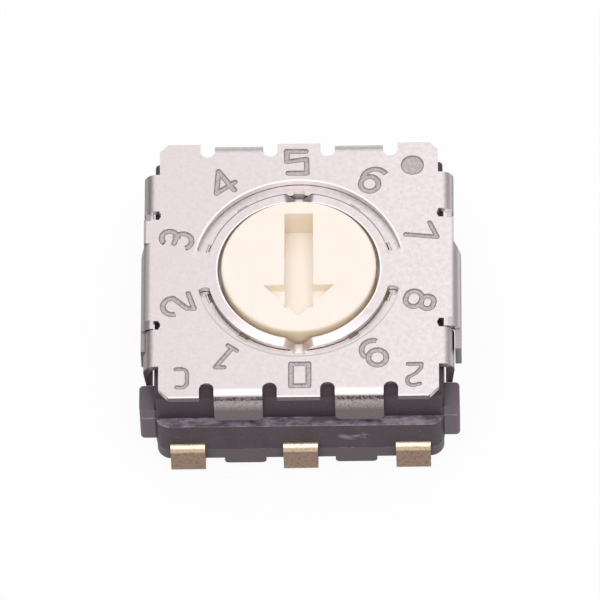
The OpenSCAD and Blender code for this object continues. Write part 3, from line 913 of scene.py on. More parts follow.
@dataclass(frozen=True)
class GoldPlate(Finish):
    """Gold flash over a rolled bronze strip.

    The flash is thin, so the strip's grain shows through it. The legs below the shoulder are
    painted darker as shade.
    """

    name: str = "gold_plated_bronze"
    bright: str = "FFE3C6"
    streak: str = "DDC29C"
    # painted shade on the legs below the shoulder, with its grain
    leg: str = "957D6C"
    leg_dark: str = "81695C"
    roughness: float = 0.34
    shoulder_z: float = 0.86
    leg_z: float = 0.79

    def draw(self, tree: bpy.types.NodeTree, point: Socket) -> dict:
        """Draws the rolling grain and the painted shade on the legs."""
        grain = add_node(tree, "TexNoise", {
            "Vector": point, "Scale": per_metre(0.07), "Detail": 3.0})
        shoulder, leg = (paint(tree, linear(tone), [(dark, grain, 0.5, 0.68)])
                         for tone, dark in ((self.bright, self.streak),
                                            (self.leg, self.leg_dark)))
        up = add_node(tree, "SeparateXYZ", {"Vector": point}).outputs["Z"]
        # The legs below the shoulder are painted darker as shade.
        colour = paint(tree, shoulder, [(leg, up, self.shoulder_z * MM, self.leg_z * MM)])
        rough = add_node(tree, "MapRange", {
            "Value": grain, "From Min": 0.3, "From Max": 0.7,
            "To Min": self.roughness - 0.06, "To Max": self.roughness + 0.1})
        relief = add_node(tree, "Bump", {
            "Strength": 0.6, "Distance": 0.006 * MM, "Height": grain})
        return {"Base Color": colour, "Metallic": 1.0, "Roughness": rough, "Normal": relief}


@dataclass(frozen=True)
class SealRubber(Finish):
    """Black nitrile rubber: matt, with a bloom of fine dust from its mould."""

    name: str = "black_nitrile_rubber"
    face: str = "26262A"
    bloom: str = "3E3E40"
    roughness: float = 0.75

    def draw(self, tree: bpy.types.NodeTree, point: Socket) -> dict:
        """Draws the bloom."""
        dust = add_node(tree, "TexNoise", {
            "Vector": point, "Scale": per_metre(0.2), "Detail": 3.0})
        colour = paint(tree, linear(self.face), [(self.bloom, dust, 0.45, 0.75)])
        relief = add_node(tree, "Bump", {
            "Strength": 0.5, "Distance": 0.004 * MM, "Height": dust})
        return {"Base Color": colour, "Roughness": self.roughness, "IOR": 1.52,
                "Normal": relief}


@dataclass
class Finishes:
    """All finishes of the switch, each made once."""

    steel: bpy.types.Material = field(default_factory=SatinSteel().material)
    mark: bpy.types.Material = field(default_factory=LaserMark().material)
    outline: bpy.types.Material = field(default_factory=LaserMark(
        "laser_burnt_steel", "9A9092", "887E81").material)
    washer: bpy.types.Material = field(default_factory=SatinSteel(
        "tumbled_stainless_washer", "DDD7D4", "D1CBC8", "A79F9D").material)
    ivory: bpy.types.Material = field(default_factory=MouldedIvory().material)
    dark: bpy.types.Material = field(default_factory=MouldedDark().material)
    gold: bpy.types.Material = field(default_factory=GoldPlate().material)
    rubber: bpy.types.Material = field(default_factory=SealRubber().material)


# ---------------------------------------------------------------------------
# Marks on the cover
# ---------------------------------------------------------------------------


@dataclass(frozen=True)
class Bar:
    """A straight stroke between two points on its middle line, round at its ends."""

    start: Flat
    end: Flat
    roundness: float = 0.94

    def solid(self, half: float, heights: Flat) -> bpy.types.Object:
        """Makes the stroke solid."""
        way = Vector(self.end) - Vector(self.start)
        middle = (Vector(self.start) + Vector(self.end)) / 2
        reach = way.length / 2 + half
        piece = Bench.block("bar", (-reach, -half, heights[0]), (reach, half, heights[1]))
        Bench.round_some(piece, self.roundness * half, 4)
        Bench.move(piece, Matrix.Translation((*middle, 0))
                   @ Matrix.Rotation(math.atan2(way.y, way.x), 4, "Z"))
        return piece


@dataclass(frozen=True)
class Arc:
    """A round stroke: centre, radius of its middle line, and where it starts and stops."""

    centre: Flat
    radius: float
    start: float = 0.0
    stop: float = 360.0

    def solid(self, half: float, heights: Flat) -> bpy.types.Object:
        """Makes the stroke solid."""
        steps = 40 if self.stop - self.start >= 360 else 22
        return Bench.arc_band("arc", (self.radius - half, self.radius + half),
                              (self.start, self.stop), heights, steps, self.centre)


@dataclass(frozen=True)
class Dot:
    """A filled round mark."""

    radius: float

    def solid(self, half: float, heights: Flat) -> bpy.types.Object:
        """Makes the dot solid, smaller as the strokes get thinner."""
        return Bench.rod("dot", self.radius + half, *heights, sides=48)


Stroke = Bar | Arc | Dot


def oblong(y: float, radius: float, spread: float) -> tuple[Stroke, ...]:
    """Makes the strokes of a loop that is wider than it is high.

    Args:
        y: Height of its centre.
        radius: Radius of its middle line at either end.
        spread: How far its end arcs lie from the centre.

    Returns:
        The strokes.
    """
    return (Arc((spread, y), radius, -90.0, 90.0), Arc((-spread, y), radius, 90.0, 270.0),
            Bar((-spread, y + radius), (spread, y + radius)),
            Bar((-spread, y - radius), (spread, y - radius)))


GLYPHS: dict[str, tuple[Stroke, ...]] = {
    "0": (Bar((-0.223, -0.315), (-0.223, 0.265)), Bar((0.169, -0.315), (0.169, 0.265)),
          Bar((-0.223, 0.265), (0.169, 0.265)), Bar((-0.223, -0.315), (0.169, -0.315))),
    "1": (Bar((-0.028, -0.285), (-0.023, 0.345)), Bar((-0.023, 0.345), (-0.181, 0.236)),
          Bar((-0.150, -0.285), (0.090, -0.285))),
    "2": (Arc((-0.05, 0.145), 0.215, -22.0, 180.0), Bar((0.155, 0.060), (-0.195, -0.145)),
          Bar((-0.195, -0.145), (-0.255, -0.300)), Bar((-0.255, -0.300), (0.170, -0.300))),
    "3": (Arc((-0.08, 0.180), 0.18, -80.0, 160.0), Arc((-0.075, -0.130), 0.20, -145.0, 85.0),
          Bar((-0.190, 0.038), (-0.020, 0.038))),
    "4": (Bar((0.080, 0.345), (0.078, -0.270)), Bar((0.080, 0.345), (-0.300, -0.106)),
          Bar((-0.300, -0.106), (0.210, -0.106))),
    "5": (Bar((-0.275, 0.305), (0.155, 0.301)), Bar((-0.275, 0.305), (-0.268, 0.025)),
          Bar((-0.268, 0.025), (0.174, 0.090)), Bar((0.174, 0.090), (0.183, -0.288)),
          Bar((0.183, -0.288), (-0.235, -0.285))),
    "6": (Arc((-0.032, -0.089), 0.20), Arc((0.01, 0.07), 0.292, 69.0, 205.0)),
    "7": (Bar((-0.220, 0.324), (0.194, 0.362)), Bar((0.194, 0.362), (-0.098, -0.290))),
    "8": oblong(0.190, 0.138, 0.030) + oblong(-0.133, 0.178, 0.030),
    "9": (Arc((-0.022, 0.120), 0.202), Arc((-0.06, -0.10), 0.255, 214.0, 375.0)),
    "c": (Bar((-0.004, 0.216), (0.100, 0.210)), Arc((-0.004, 0.086), 0.13, 88.0, 180.0),
          Bar((-0.134, 0.088), (-0.134, -0.149)), Arc((-0.004, -0.147), 0.13, 180.0, 272.0),
          Bar((-0.004, -0.277), (0.122, -0.268))),
    "second": (Bar((-0.145, -0.284), (0.155, -0.284)), Bar((-0.145, -0.284), (-0.137, -0.172)),
               Bar((-0.137, -0.172), (-0.022, -0.038)), Bar((-0.022, -0.038), (0.128, 0.056)),
               Arc((0.045, 0.150), 0.127, -50.0, 98.0), Bar((0.025, 0.276), (-0.110, 0.242))),
    "dot": (Dot(0.195),),
}


@dataclass
class Marks:
    """The dial's ten plain numbers, two corner marks and the dot, cut in by a laser."""

    top: float
    circle: float = 2.86
    numbers: int = 10
    first_angle: float = -90.0
    stroke: float = 0.136
    slim_stroke: float = 0.12
    thin_stroke: float = 0.104
    edge: float = 0.026
    edge_depth: float = 0.008
    fill_depth: float = 0.018
    stagger: float = 0.0007
    narrower: float = 0.002
    corner_c: Flat = (-2.635, -2.92)
    corner_second: Flat = (2.612, -2.863)
    corner_dot: Flat = (2.572, 2.755)

    def places(self) -> Iterable[tuple[str, Flat, float, float]]:
        """Gives each mark's name, its place, its turn in degrees and its stroke."""
        for number in range(self.numbers):
            angle = self.first_angle - number * 360 / self.numbers
            place = (self.circle * math.cos(math.radians(angle)),
                     self.circle * math.sin(math.radians(angle)))
            width = self.slim_stroke if number in (1, 7) else self.stroke
            yield str(number), place, angle - 90, width
        yield "c", self.corner_c, 180.0, self.thin_stroke
        yield "second", self.corner_second, 180.0, self.thin_stroke
        yield "dot", self.corner_dot, 0.0, self.stroke

    def tool(self, depth: float, slimmer: float) -> bpy.types.Object:
        """Makes all marks as one tool.

        Args:
            depth: How deep it reaches into the cover.
            slimmer: How much narrower each stroke is on either side.

        Returns:
            The tool.
        """
        made = []
        for name, place, turn, width in self.places():
            first, *others = [
                stroke.solid(width / 2 - slimmer - number % 4 * self.narrower,
                             (self.top - depth - number * self.stagger,
                              self.top + self.stroke + number * MM))
                for number, stroke in enumerate(GLYPHS[name])]
            for other in others:
                Bench.combine(first, other, Cut.WELD, snap=False)
            Bench.move(first, Matrix.Translation((*place, 0))
                       @ Matrix.Rotation(math.radians(turn), 4, "Z"))
            made.append(first)
        return Bench.join(made, "marks")

    def engrave(self, cover: bpy.types.Object, finishes: Finishes) -> None:
        """Cuts the marks into the cover: their burnt outlines first, then their even fill."""
        for slimmer, depth, finish in ((0.0, self.edge_depth, finishes.outline),
                                       (self.edge, self.fill_depth, finishes.mark)):
            tool = self.tool(depth, slimmer)
            tool.data.materials.append(finish)
            Bench.combine(cover, tool, Cut.REMOVE, finish=True, snap=False)


# ---------------------------------------------------------------------------
# Cover
# ---------------------------------------------------------------------------


@dataclass
class Cover:
    """Folded steel cover with its window, spring ring, click noses, tabs, hooks and flaps."""

    top: float = 2.76
    sheet: float = 0.15
    half_width: float = 3.15
    half_length: float = 3.42
    chamfer: float = 0.24
    window_r: float = 1.834
    ring_r: float = 2.074
    slot_r: float = 2.344
    slot_shift: float = 0.02
    slot_start: float = 16.0
    nose_half: float = 0.30
    nose_flat: float = 0.09
    nose_drop: float = 0.29
    ring_dip: float = 0.05
    arc_overlap: float = 3.0
    tab_width: float = 1.09
    tab_offset: float = 1.36
    tab_drop: float = 0.93
    tab_face: float = 3.44
    tab_bend: float = 0.30
    tab_corner: float = 0.15
    notch: float = 0.33
    notch_depth: float = 0.39
    hook_inner: float = 1.5875
    hook_outer: float = 2.5725
    hook_drop: float = 0.80
    hook_lean: float = 0.055
    hook_face: float = 3.50
    hook_bend: float = 0.28
    side_notch: float = 0.23
    notch_extra: float = 0.035
    notch_reach: float = 3.27
    slit: float = 0.02
    flap_right: float = 3.66
    flap_left: float = 3.56
    flap_drop: float = 0.80
    flap_rear: float = 0.73
    flap_front: float = 2.08
    flap_bend: float = 0.25
    flap_corner: float = 0.28
    tab_root: float = 0.08
    hook_root: float = 0.06
    flap_root: float = 0.08
    rest_root: float = 0.07
    joint_overlap: float = 0.04
    joint_gap: float = 0.02
    joint_inset: float = 0.045
    joint_under: float = 0.10
    tongue_overlap: float = 0.05
    corner_inset: float = 0.02
    edge_round: float = 0.04

    @property
    def under(self) -> float:
        """Height of the sheet's underside."""
        return self.top - self.sheet

    def flat_sheet(self) -> bpy.types.Object:
        """Makes the flat cover with its hole, notches and side edges."""
        sheet = Bench.block("folded_cover", (-self.half_width, -self.half_length, self.under),
                            (self.half_width, self.half_length, self.top))
        Bench.round_some(sheet, self.chamfer, 1)
        rear = self.hook_inner - self.side_notch
        for x in SIDES:
            Bench.weld(sheet, Bench.block(
                "side_rest", (x * (self.half_width - self.rest_root), self.flap_rear,
                              self.under + HAIR),
                (x * self.hook_face, rear, self.top - HAIR)))
        tools = self.notch_tools()
        for x in SIDES:
            for y in SIDES:
                corner = Matrix.Scale(x, 4, (1, 0, 0)) @ Matrix.Scale(y, 4, (0, 1, 0))
                Bench.cut(sheet, *(Bench.copy(tool, "notch", corner) for tool in tools))
        Bench.discard(*tools)
        Bench.cut(sheet, Bench.rod("window", self.window_r, self.under - 1, self.top + 1,
                                   sides=180), *self.slot_tools())
        for x in SIDES:
            Bench.weld(sheet, Bench.block(
                "side_joint",
                (x * (self.notch_reach + self.joint_gap), rear - self.joint_overlap,
                 self.under + 3 * HAIR),
                (x * (self.hook_face - self.joint_inset),
                 self.hook_inner + self.joint_overlap, self.top - self.joint_under)))
        return sheet

    def round_notch(self, middle: float, inner: float, width: float) -> bpy.types.Object:
        """Makes the tool for a round-ended notch that opens towards +Y."""
        half = width / 2
        tool = Bench.block("notch", (middle - half, inner, self.under - 1),
                           (middle + half, self.half_length + 1, self.top + 1))
        Bench.round_some(tool, END_SHARE * half, 10,
                         lambda c, d: upright(c, d) and c.y < inner + 0.01)
        return tool

    def notch_tools(self) -> list[bpy.types.Object]:
        """Makes the tools that cut the notches and the tab's place in the +X, +Y corner."""
        reach = (self.tab_width + self.notch) / 2
        inner = self.half_length - self.notch_depth
        tools = [self.round_notch(self.tab_offset + s * reach, inner, self.notch)
                 for s in SIDES]
        half = self.tab_width / 2 + self.notch / 3
        tools.append(Bench.block("tab_place", (self.tab_offset - half,
                                               self.tab_face - self.tab_bend, self.under - 1),
                                 (self.tab_offset + half, self.half_length + 1, self.top + 1)))
        side = self.round_notch(0.0, self.half_width - self.notch_extra, self.side_notch)
        Bench.move(side, Matrix.Translation((0, self.hook_inner - self.side_notch / 2, 0))
                   @ Matrix.Rotation(-math.pi / 2, 4, "Z"))
        return [*tools, side]

    def slot_tools(self) -> list[bpy.types.Object]:
        """Makes the tools that clear the spring ring's two arcs and the slots behind them."""
        tools = []
        heights = (self.under - 1, self.top + 1)
        for y in SIDES:
            outer = self.slot_r + y * self.slot_shift
            half = (outer - self.ring_r) / 2
            end = math.degrees(half / self.ring_r)
            start = 90 * y - 90 + self.slot_start
            stop = start + 180 - 2 * self.slot_start
            tools.append(Bench.arc_band("clearing", (self.window_r - 0.2, self.ring_r + half),
                                        (start, stop), heights, 90))
            slot = Bench.arc_band("slot", (self.ring_r, outer),
                                  (start - end, stop + end), heights, 90)
            ends = [math.radians(angle) for angle in (start - end, stop + end)]
            Bench.round_some(slot, END_SHARE * half, 8, lambda c, d: upright(c, d) and any(
                math.cos(math.atan2(c.y, c.x) - angle) > 0.99999 for angle in ends))
            tools.append(slot)
        return tools

    def sprung(self, x: float, y: float) -> float:
        """How far the spring ring lies below the flat sheet above a point."""
        away = abs(math.degrees(math.atan2(y, abs(x))))
        share = max(0.0, (away - self.slot_start) / (90 - self.slot_start))
        sag = self.ring_dip * (1 - math.cos(math.pi * share)) / 2
        if abs(x) >= self.nose_half:
            return sag
        slope = (self.nose_half - abs(x)) / (self.nose_half - self.nose_flat)
        return sag + (self.nose_drop - self.ring_dip) * min(1.0, slope)

    def spring_ring(self) -> list[bpy.types.Object]:
        """Makes the two arcs of the spring ring, which reach a little into the bridges."""
        parts = []
        for front in SIDES:
            start = 90 * front - 90 + self.slot_start - self.arc_overlap
            stop = start + 180 - 2 * (self.slot_start - self.arc_overlap)
            arc = Bench.arc_band("spring_arc", (self.window_r + HAIR, self.ring_r - HAIR),
                                 (start, stop), (self.under + HAIR, self.top - HAIR), 150)
            for vertex in arc.data.vertices:
                vertex.co.z -= self.sprung(vertex.co.x, vertex.co.y)
            parts.append(arc)
        return parts

    def folded_strip(self, name: str, width: float, face: float, bend: float, drop: float,
                     start: float) -> bpy.types.Object:
        """Makes a strip that leaves the sheet towards +Y, bends down and hangs.

        Args:
            name: Name of the piece.
            width: Width of the strip along X.
            face: Distance of its outer face from the middle.
            bend: Outer radius of the bend.
            drop: How far it reaches down from the cover's top.
            start: Distance from the middle at which it starts, inside the sheet.

        Returns:
            The strip, centred on X.
        """
        root = face - bend
        strip = Bench.strip_end(name, width, start, (self.under + HAIR, self.top - HAIR))
        Bench.draw_out((0, root - start, 0))
        Bench.bend_down(root, self.top - bend)
        Bench.draw_out((0, 0, bend - drop))
        Bench.close_strip(strip)
        return strip

    def tabs(self) -> list[bpy.types.Object]:
        """Makes the four tabs with their rounded lower corners."""
        first = self.folded_strip("tab", self.tab_width, self.tab_face, self.tab_bend,
                                  self.tab_drop, self.tab_face - self.tab_bend - self.tab_root)
        lowest = self.top - self.tab_drop
        Bench.round_some(first, self.tab_corner, 6,
                         lambda c, d: abs(d.y) > 0.9 and c.z < lowest + 0.01)
        return Bench.copies(first, [
            Matrix.Translation((x * self.tab_offset, 0, 0)) @ Matrix.Scale(y, 4, (0, 1, 0))
            for x in SIDES for y in SIDES])

    def hooks(self) -> list[bpy.types.Object]:
        """Makes the four hooks at the sides."""
        first = self.folded_strip("hook", self.hook_outer - self.hook_inner, self.hook_face,
                                  self.hook_bend, self.hook_drop,
                                  self.half_width - self.hook_root)
        for vertex in first.data.vertices:
            if vertex.co.z < self.top - self.hook_drop + HAIR:
                vertex.co.y -= self.hook_lean
        middle = (self.hook_inner + self.hook_outer) / 2
        return Bench.copies(first, [
            Matrix.Translation((0, y * middle, 0)) @ Matrix.Rotation(-x * math.pi / 2, 4, "Z")
            for x in SIDES for y in SIDES])

    def flap(self, side: int, face: float) -> bpy.types.Object:
        """Makes one side flap with its slanted rear corner and its tongue.

        Args:
            side: 1 for the right, -1 for the left.
            face: Distance of its outer face from the middle.

        Returns:
            The flap.
        """
        front = self.slit - self.hook_inner
        length = self.flap_rear - front
        flap = self.folded_strip("flap", length, face, self.flap_bend, self.flap_drop,
                                 self.half_width - self.flap_root)
        Bench.move(flap, Matrix.Translation((0, (front + self.flap_rear) / 2, 0))
                   @ Matrix.Rotation(-side * math.pi / 2, 4, "Z"))
        Bench.cut(flap, Bench.block(
            "notch", (side * (self.half_width - 0.5), front - 1, self.under - 1),
            (side * self.notch_reach, self.side_notch - self.hook_inner + HAIR, self.top + 1)))
        Bench.weld(flap, Bench.block(
            "tongue", (side * (face - self.sheet + 4 * HAIR), -self.flap_front,
                       self.top - self.flap_drop + 4 * HAIR),
            (side * (face - 4 * HAIR), front + self.tongue_overlap, self.under)))
        slant = Bench.block("slant", (-1, -0.5, 0), (1, 0.5, 1))
        Bench.move(slant, Matrix.Translation((side * face, self.flap_rear - self.flap_bend,
                                              self.top - self.flap_drop))
                   @ Matrix.Rotation(math.atan2(self.flap_drop - self.flap_bend,
                                                self.flap_bend), 4, "X")
                   @ Matrix.Translation((0, 0.5, -1)))
        root = self.hook_face - self.corner_inset
        corner = Bench.block("corner", (-1, 0, self.under - 2), (1, 1, self.top + 1))
        Bench.move(corner, Matrix.Translation((side * root, self.flap_rear + 2 * HAIR, 0))
                   @ Matrix.Rotation(-side * math.atan2(self.flap_corner, face - root), 4, "Z"))
        Bench.cut(flap, slant, corner)
        return flap

    def build(self, finishes: Finishes) -> bpy.types.Object:
        """Builds, marks and dresses the cover.

        Args:
            finishes: The finishes of the switch.

        Returns:
            The finished cover.
        """
        cover = self.flat_sheet()
        Bench.weld(cover, *self.spring_ring(), *self.tabs(), *self.hooks(),
                   self.flap(1, self.flap_right), self.flap(-1, self.flap_left))
        Bench.outward(cover, 1.6 * HAIR)
        Bench.dress(cover, finishes.steel)
        Marks(self.top).engrave(cover, finishes)
        Bench.round_edges(cover, self.edge_round)
        return Bench.deliver(cover, Body.FIXED, "cover_steel", ["cover"])


# ---------------------------------------------------------------------------
# What turns
# ---------------------------------------------------------------------------


@dataclass
class Rotor:
    """Moulded rotor with its arrow slot, click track, washer seat, groove and socket."""

    flange_r: float = 2.62
    groove_r: float = 2.28
    track_r: float = 2.13
    tooth_r: float = 2.168
    head_r: float = 1.747
    socket_r: float = 0.36
    under: float = 1.41
    groove_under: float = 1.55
    groove_top: float = 2.02
    land: float = 2.30
    seat: float = 2.47
    tooth_top: float = 2.585
    head_top: float = 2.89
    socket_top: float = 1.93
    head_round: float = 0.06
    tooth_width: float = 0.24
    positions: int = 10
    valley_inner: float = 1.767
    valley_outer: float = 2.098
    valley_half: float = 0.30
    valley_flat: float = 0.09
    valley_depth: float = 0.12
    driver_width: float = 0.634
    driver_floor: float = 2.09
    driver_front: float = 1.11
    driver_rear: float = 1.40
    arrow_depth: float = 0.28
    arrow_half: float = 0.79
    arrow_base: float = 0.51
    arrow_tip: float = 1.33
    slot_round: float = 0.03
    overlap: float = 0.05
    hair: float = 0.004

    def drum(self) -> bpy.types.Object:
        """Turns the body from its rods: base, groove, click land, rim and teeth."""
        drum = Bench.rod("moulded_rotor", self.flange_r, self.under, self.groove_under, sides=160)
        Bench.weld(drum, Bench.rod("waist", self.groove_r, self.groove_under - self.overlap,
                                   self.groove_top + self.overlap, sides=160),
                   Bench.rod("land", self.flange_r, self.groove_top, self.land, sides=160))
        rim = Bench.arc_band("rim", (self.track_r, self.flange_r), (0, 360),
                             (self.land - self.overlap, self.seat), 160)
        ring = Bench.arc_band("teeth", (self.track_r + self.hair, self.tooth_r), (0, 360),
                              (self.land + 0.06, self.tooth_top), 160)
        tooth = Bench.block("tooth", (-self.tooth_width / 2, -self.flange_r, self.seat - 1),
                            (self.tooth_width / 2, -self.head_r, self.seat + 1))
        Bench.combine(ring, Bench.join(Bench.around(tooth, self.positions), "teeth"), Cut.KEEP)
        Bench.weld(drum, rim, ring)
        return drum

    def valleys(self) -> bpy.types.Object:
        """Makes the tool that presses the ten valleys into the click land."""
        high = self.land + self.valley_depth
        valley = Bench.block("valley", (-self.valley_half, self.valley_inner,
                                        self.land - self.valley_depth),
                             (self.valley_half, self.valley_outer, high))
        centre = (0, (self.valley_inner + self.valley_outer) / 2, high)
        Bench.widen(valley, (2 * self.valley_half - self.valley_flat) / self.valley_half, centre,
                    lambda c, n: c.z > self.land)
        Bench.widen(valley, self.valley_flat / self.valley_half, centre,
                    lambda c, n: c.z < self.land)
        return Bench.join(Bench.around(valley, self.positions), "valleys")

    def driver_slot(self, high: float) -> bpy.types.Object:
        """Makes the tool for the driver's slot, up to a height."""
        half = self.driver_width / 2
        return Bench.block("slot", (-half, -self.driver_front, self.driver_floor),
                           (half, self.driver_rear, high))

    def head(self) -> bpy.types.Object:
        """Makes the head with its round edge and its arrow slot."""
        head = Bench.rod("head", self.head_r, self.groove_top, self.head_top, sides=192)
        Bench.round_some(head, self.head_round, 8, lambda c, d: c.z > self.head_top - HAIR)
        arrow = Bench.block("arrow", (-self.arrow_half, -self.arrow_tip,
                                      self.head_top - self.arrow_depth),
                            (self.arrow_half, -self.arrow_base, self.head_top + 1))
        Bench.widen(arrow, 0, (0, -self.arrow_tip, 0),
                    lambda c, n: c.y < -self.arrow_base - 0.1)
        Bench.outward(arrow)
        Bench.cut(head, arrow, self.driver_slot(self.head_top + 1.1))
        Bench.round_some(head, self.slot_round, 3,
                         lambda c, d: c.z > self.head_top - HAIR and self.inner(c)
                         and abs(d.z) < 0.1)
        return head

    def inner(self, place: Vector) -> bool:
        """Tells whether a place lies within the head's flat top."""
        return place.to_2d().length < self.head_r - self.head_round - 0.02

    def build(self, finishes: Finishes) -> bpy.types.Object:
        """Builds and dresses the rotor.

        Args:
            finishes: The finishes of the switch.

        Returns:
            The finished rotor.
        """
        rotor = self.drum()
        Bench.cut(rotor, self.valleys())
        Bench.weld(rotor, self.head())
        Bench.cut(rotor, self.driver_slot(self.land + 0.2),
                  Bench.rod("socket", self.socket_r, self.under - 1, self.socket_top, sides=64))
        Bench.outward(rotor)
        Bench.dress(rotor, finishes.ivory)
        return Bench.deliver(rotor, Body.TURNING, "rotor_plastic", ["rotor"], 30.0)


@dataclass
class Washer:
    """Tumbled steel washer with ten notches that the rotor's teeth hold."""

    inner: float = 2.088
    outer: float = 2.62
    notch_r: float = 2.173
    notch_half: float = 0.124
    low: float = 2.47
    high: float = 2.59
    positions: int = 10
    edge_round: float = 0.008

    def build(self, finishes: Finishes) -> bpy.types.Object:
        """Builds and dresses the washer.

        Args:
            finishes: The finishes of the switch.

        Returns:
            The finished washer.
        """
        washer = Bench.arc_band("tumbled_washer", (self.inner, self.outer), (0, 360),
                                (self.low, self.high), 160)
        notch = Bench.block("notch", (-self.notch_half, -self.notch_r, self.low - 1),
                            (self.notch_half, 0.1 - self.inner, self.high + 1))
        Bench.cut(washer, *Bench.around(notch, self.positions))
        Bench.outward(washer)
        Bench.round_edges(washer, self.edge_round)
        Bench.dress(washer, finishes.washer)
        return Bench.deliver(washer, Body.TURNING, "washer_steel", ["thrust_washer"])


# ---------------------------------------------------------------------------
# Lead frame
# ---------------------------------------------------------------------------


@dataclass
class LeadFrame:
    """Sizes that all terminals share."""

    pitch: float = 2.54
    width: float = 0.78
    under: float = 0.78
    top: float = 0.93
    wall: float = 3.485
    face: float = 3.655
    bend: float = 0.17
    foot: float = 0.75
    bar_row: float = 2.30
    bar_width: float = 0.30
    leaf_width: float = 0.22
    leaf: float = 0.07
    tip_top: float = 1.31
    chamber_r: float = 2.75
    clear: float = 0.06
    hair: float = 0.003
    edge_round: float = 0.022

    @property
    def sheet(self) -> float:
        """Thickness of the strip."""
        return self.top - self.under

    def leaf_root(self, leaf_x: float) -> float:
        """Where a leaf can start to rise inside the chamber."""
        edge = math.sqrt(self.chamber_r ** 2 - (abs(leaf_x) + self.leaf_width / 2) ** 2)
        return min(self.bar_row - self.bar_width / 2, edge - self.clear)


@dataclass
class Terminal:
    """One terminal: shoulder, leg and foot, its bars in the floor and its contact leaf.

    The spare terminal has no leaf and only a short bar. Rows are -1 in front, 1 at the rear.
    """

    name: str
    row: int
    x: float
    leaf_x: Optional[float] = None
    tip_y: float = 0.5
    frame: LeadFrame = field(default_factory=LeadFrame)

    @property
    def place(self) -> Matrix:
        """Where the terminal lies, mirrored into its row."""
        return Matrix.Translation((self.x, 0, 0)) @ Matrix.Scale(self.row, 4, (0, 1, 0))

    def leg(self) -> bpy.types.Object:
        """Bends the strip over the shoulder and in under the foot."""
        frame = self.frame
        leg = Bench.strip_end("leg", frame.width, frame.wall - 0.02,
                              (frame.under, frame.top))
        Bench.draw_out((0, 0.02, 0))
        Bench.bend_down(frame.wall, frame.top - frame.bend)
        Bench.draw_out((0, 0, 2 * frame.bend - frame.top))
        Bench.bend_down(frame.face - frame.bend, frame.bend)
        Bench.draw_out((0, frame.bend - frame.foot, 0))
        Bench.close_strip(leg)
        return leg

    def flat_bar(self, low: Flat, high: Flat) -> bpy.types.Object:
        """Makes one flat bar in the floor."""
        return Bench.block("bar", (*low, self.frame.under), (*high, self.frame.top))

    def bars(self) -> list[bpy.types.Object]:
        """Makes the bars that lead from the wall to the leaf's root, seen from the row."""
        frame = self.frame
        half = frame.bar_width / 2
        made = [self.flat_bar((-frame.width / 2, frame.bar_row - half),
                              (frame.width / 2, frame.wall - 0.01))]
        if self.leaf_x is None:
            return made
        leaf = self.leaf_x - self.x
        made.append(self.flat_bar((min(0.0, leaf) - half, frame.bar_row - half),
                                  (max(0.0, leaf) + half, frame.bar_row + half)))
        wide = frame.leaf_width / 2
        made.append(self.flat_bar((leaf - wide, frame.leaf_root(self.leaf_x)),
                                  (leaf + wide, frame.bar_row)))
        return made

    def leaf_spring(self) -> bpy.types.Object:
        """Makes the leaf that rises to the code disc and thins towards its tip."""
        frame = self.frame
        root = frame.leaf_root(self.leaf_x) + frame.hair
        leaf, wide = self.leaf_x - self.x, frame.leaf_width / 2 - frame.hair
        spring = Bench.block("leaf", (leaf - wide, self.tip_y, frame.tip_top - frame.leaf),
                             (leaf + wide, root, frame.tip_top))
        for high in (False, True):
            Bench.pick(spring, "VERT", lambda c, n: c.y > root - 0.01
                       and (c.z > frame.tip_top - frame.leaf / 2) == high)
            rise = frame.tip_top if high else frame.tip_top - frame.leaf
            forward = frame.sheet if high else 0.0
            bpy.ops.transform.translate(value=(0, forward, frame.top - 0.01 - rise))
            Bench.close_edit()
        return spring

    def build(self, finishes: Finishes) -> bpy.types.Object:
        """Builds, places and dresses the terminal.

        Args:
            finishes: The finishes of the switch.

        Returns:
            The finished terminal.
        """
        made = self.leg()
        Bench.weld(made, *self.bars())
        if self.leaf_x is not None:
            Bench.weld(made, self.leaf_spring())
        Bench.outward(made)
        Bench.round_edges(made, self.frame.edge_round)
        placed = Bench.copy(made, "bent_" + self.name, self.place)
        Bench.discard(made)
        Bench.dress(placed, finishes.gold)
        return Bench.deliver(placed, Body.FIXED, "terminal_gold", [self.name])


# ---------------------------------------------------------------------------
# Housing
# ---------------------------------------------------------------------------


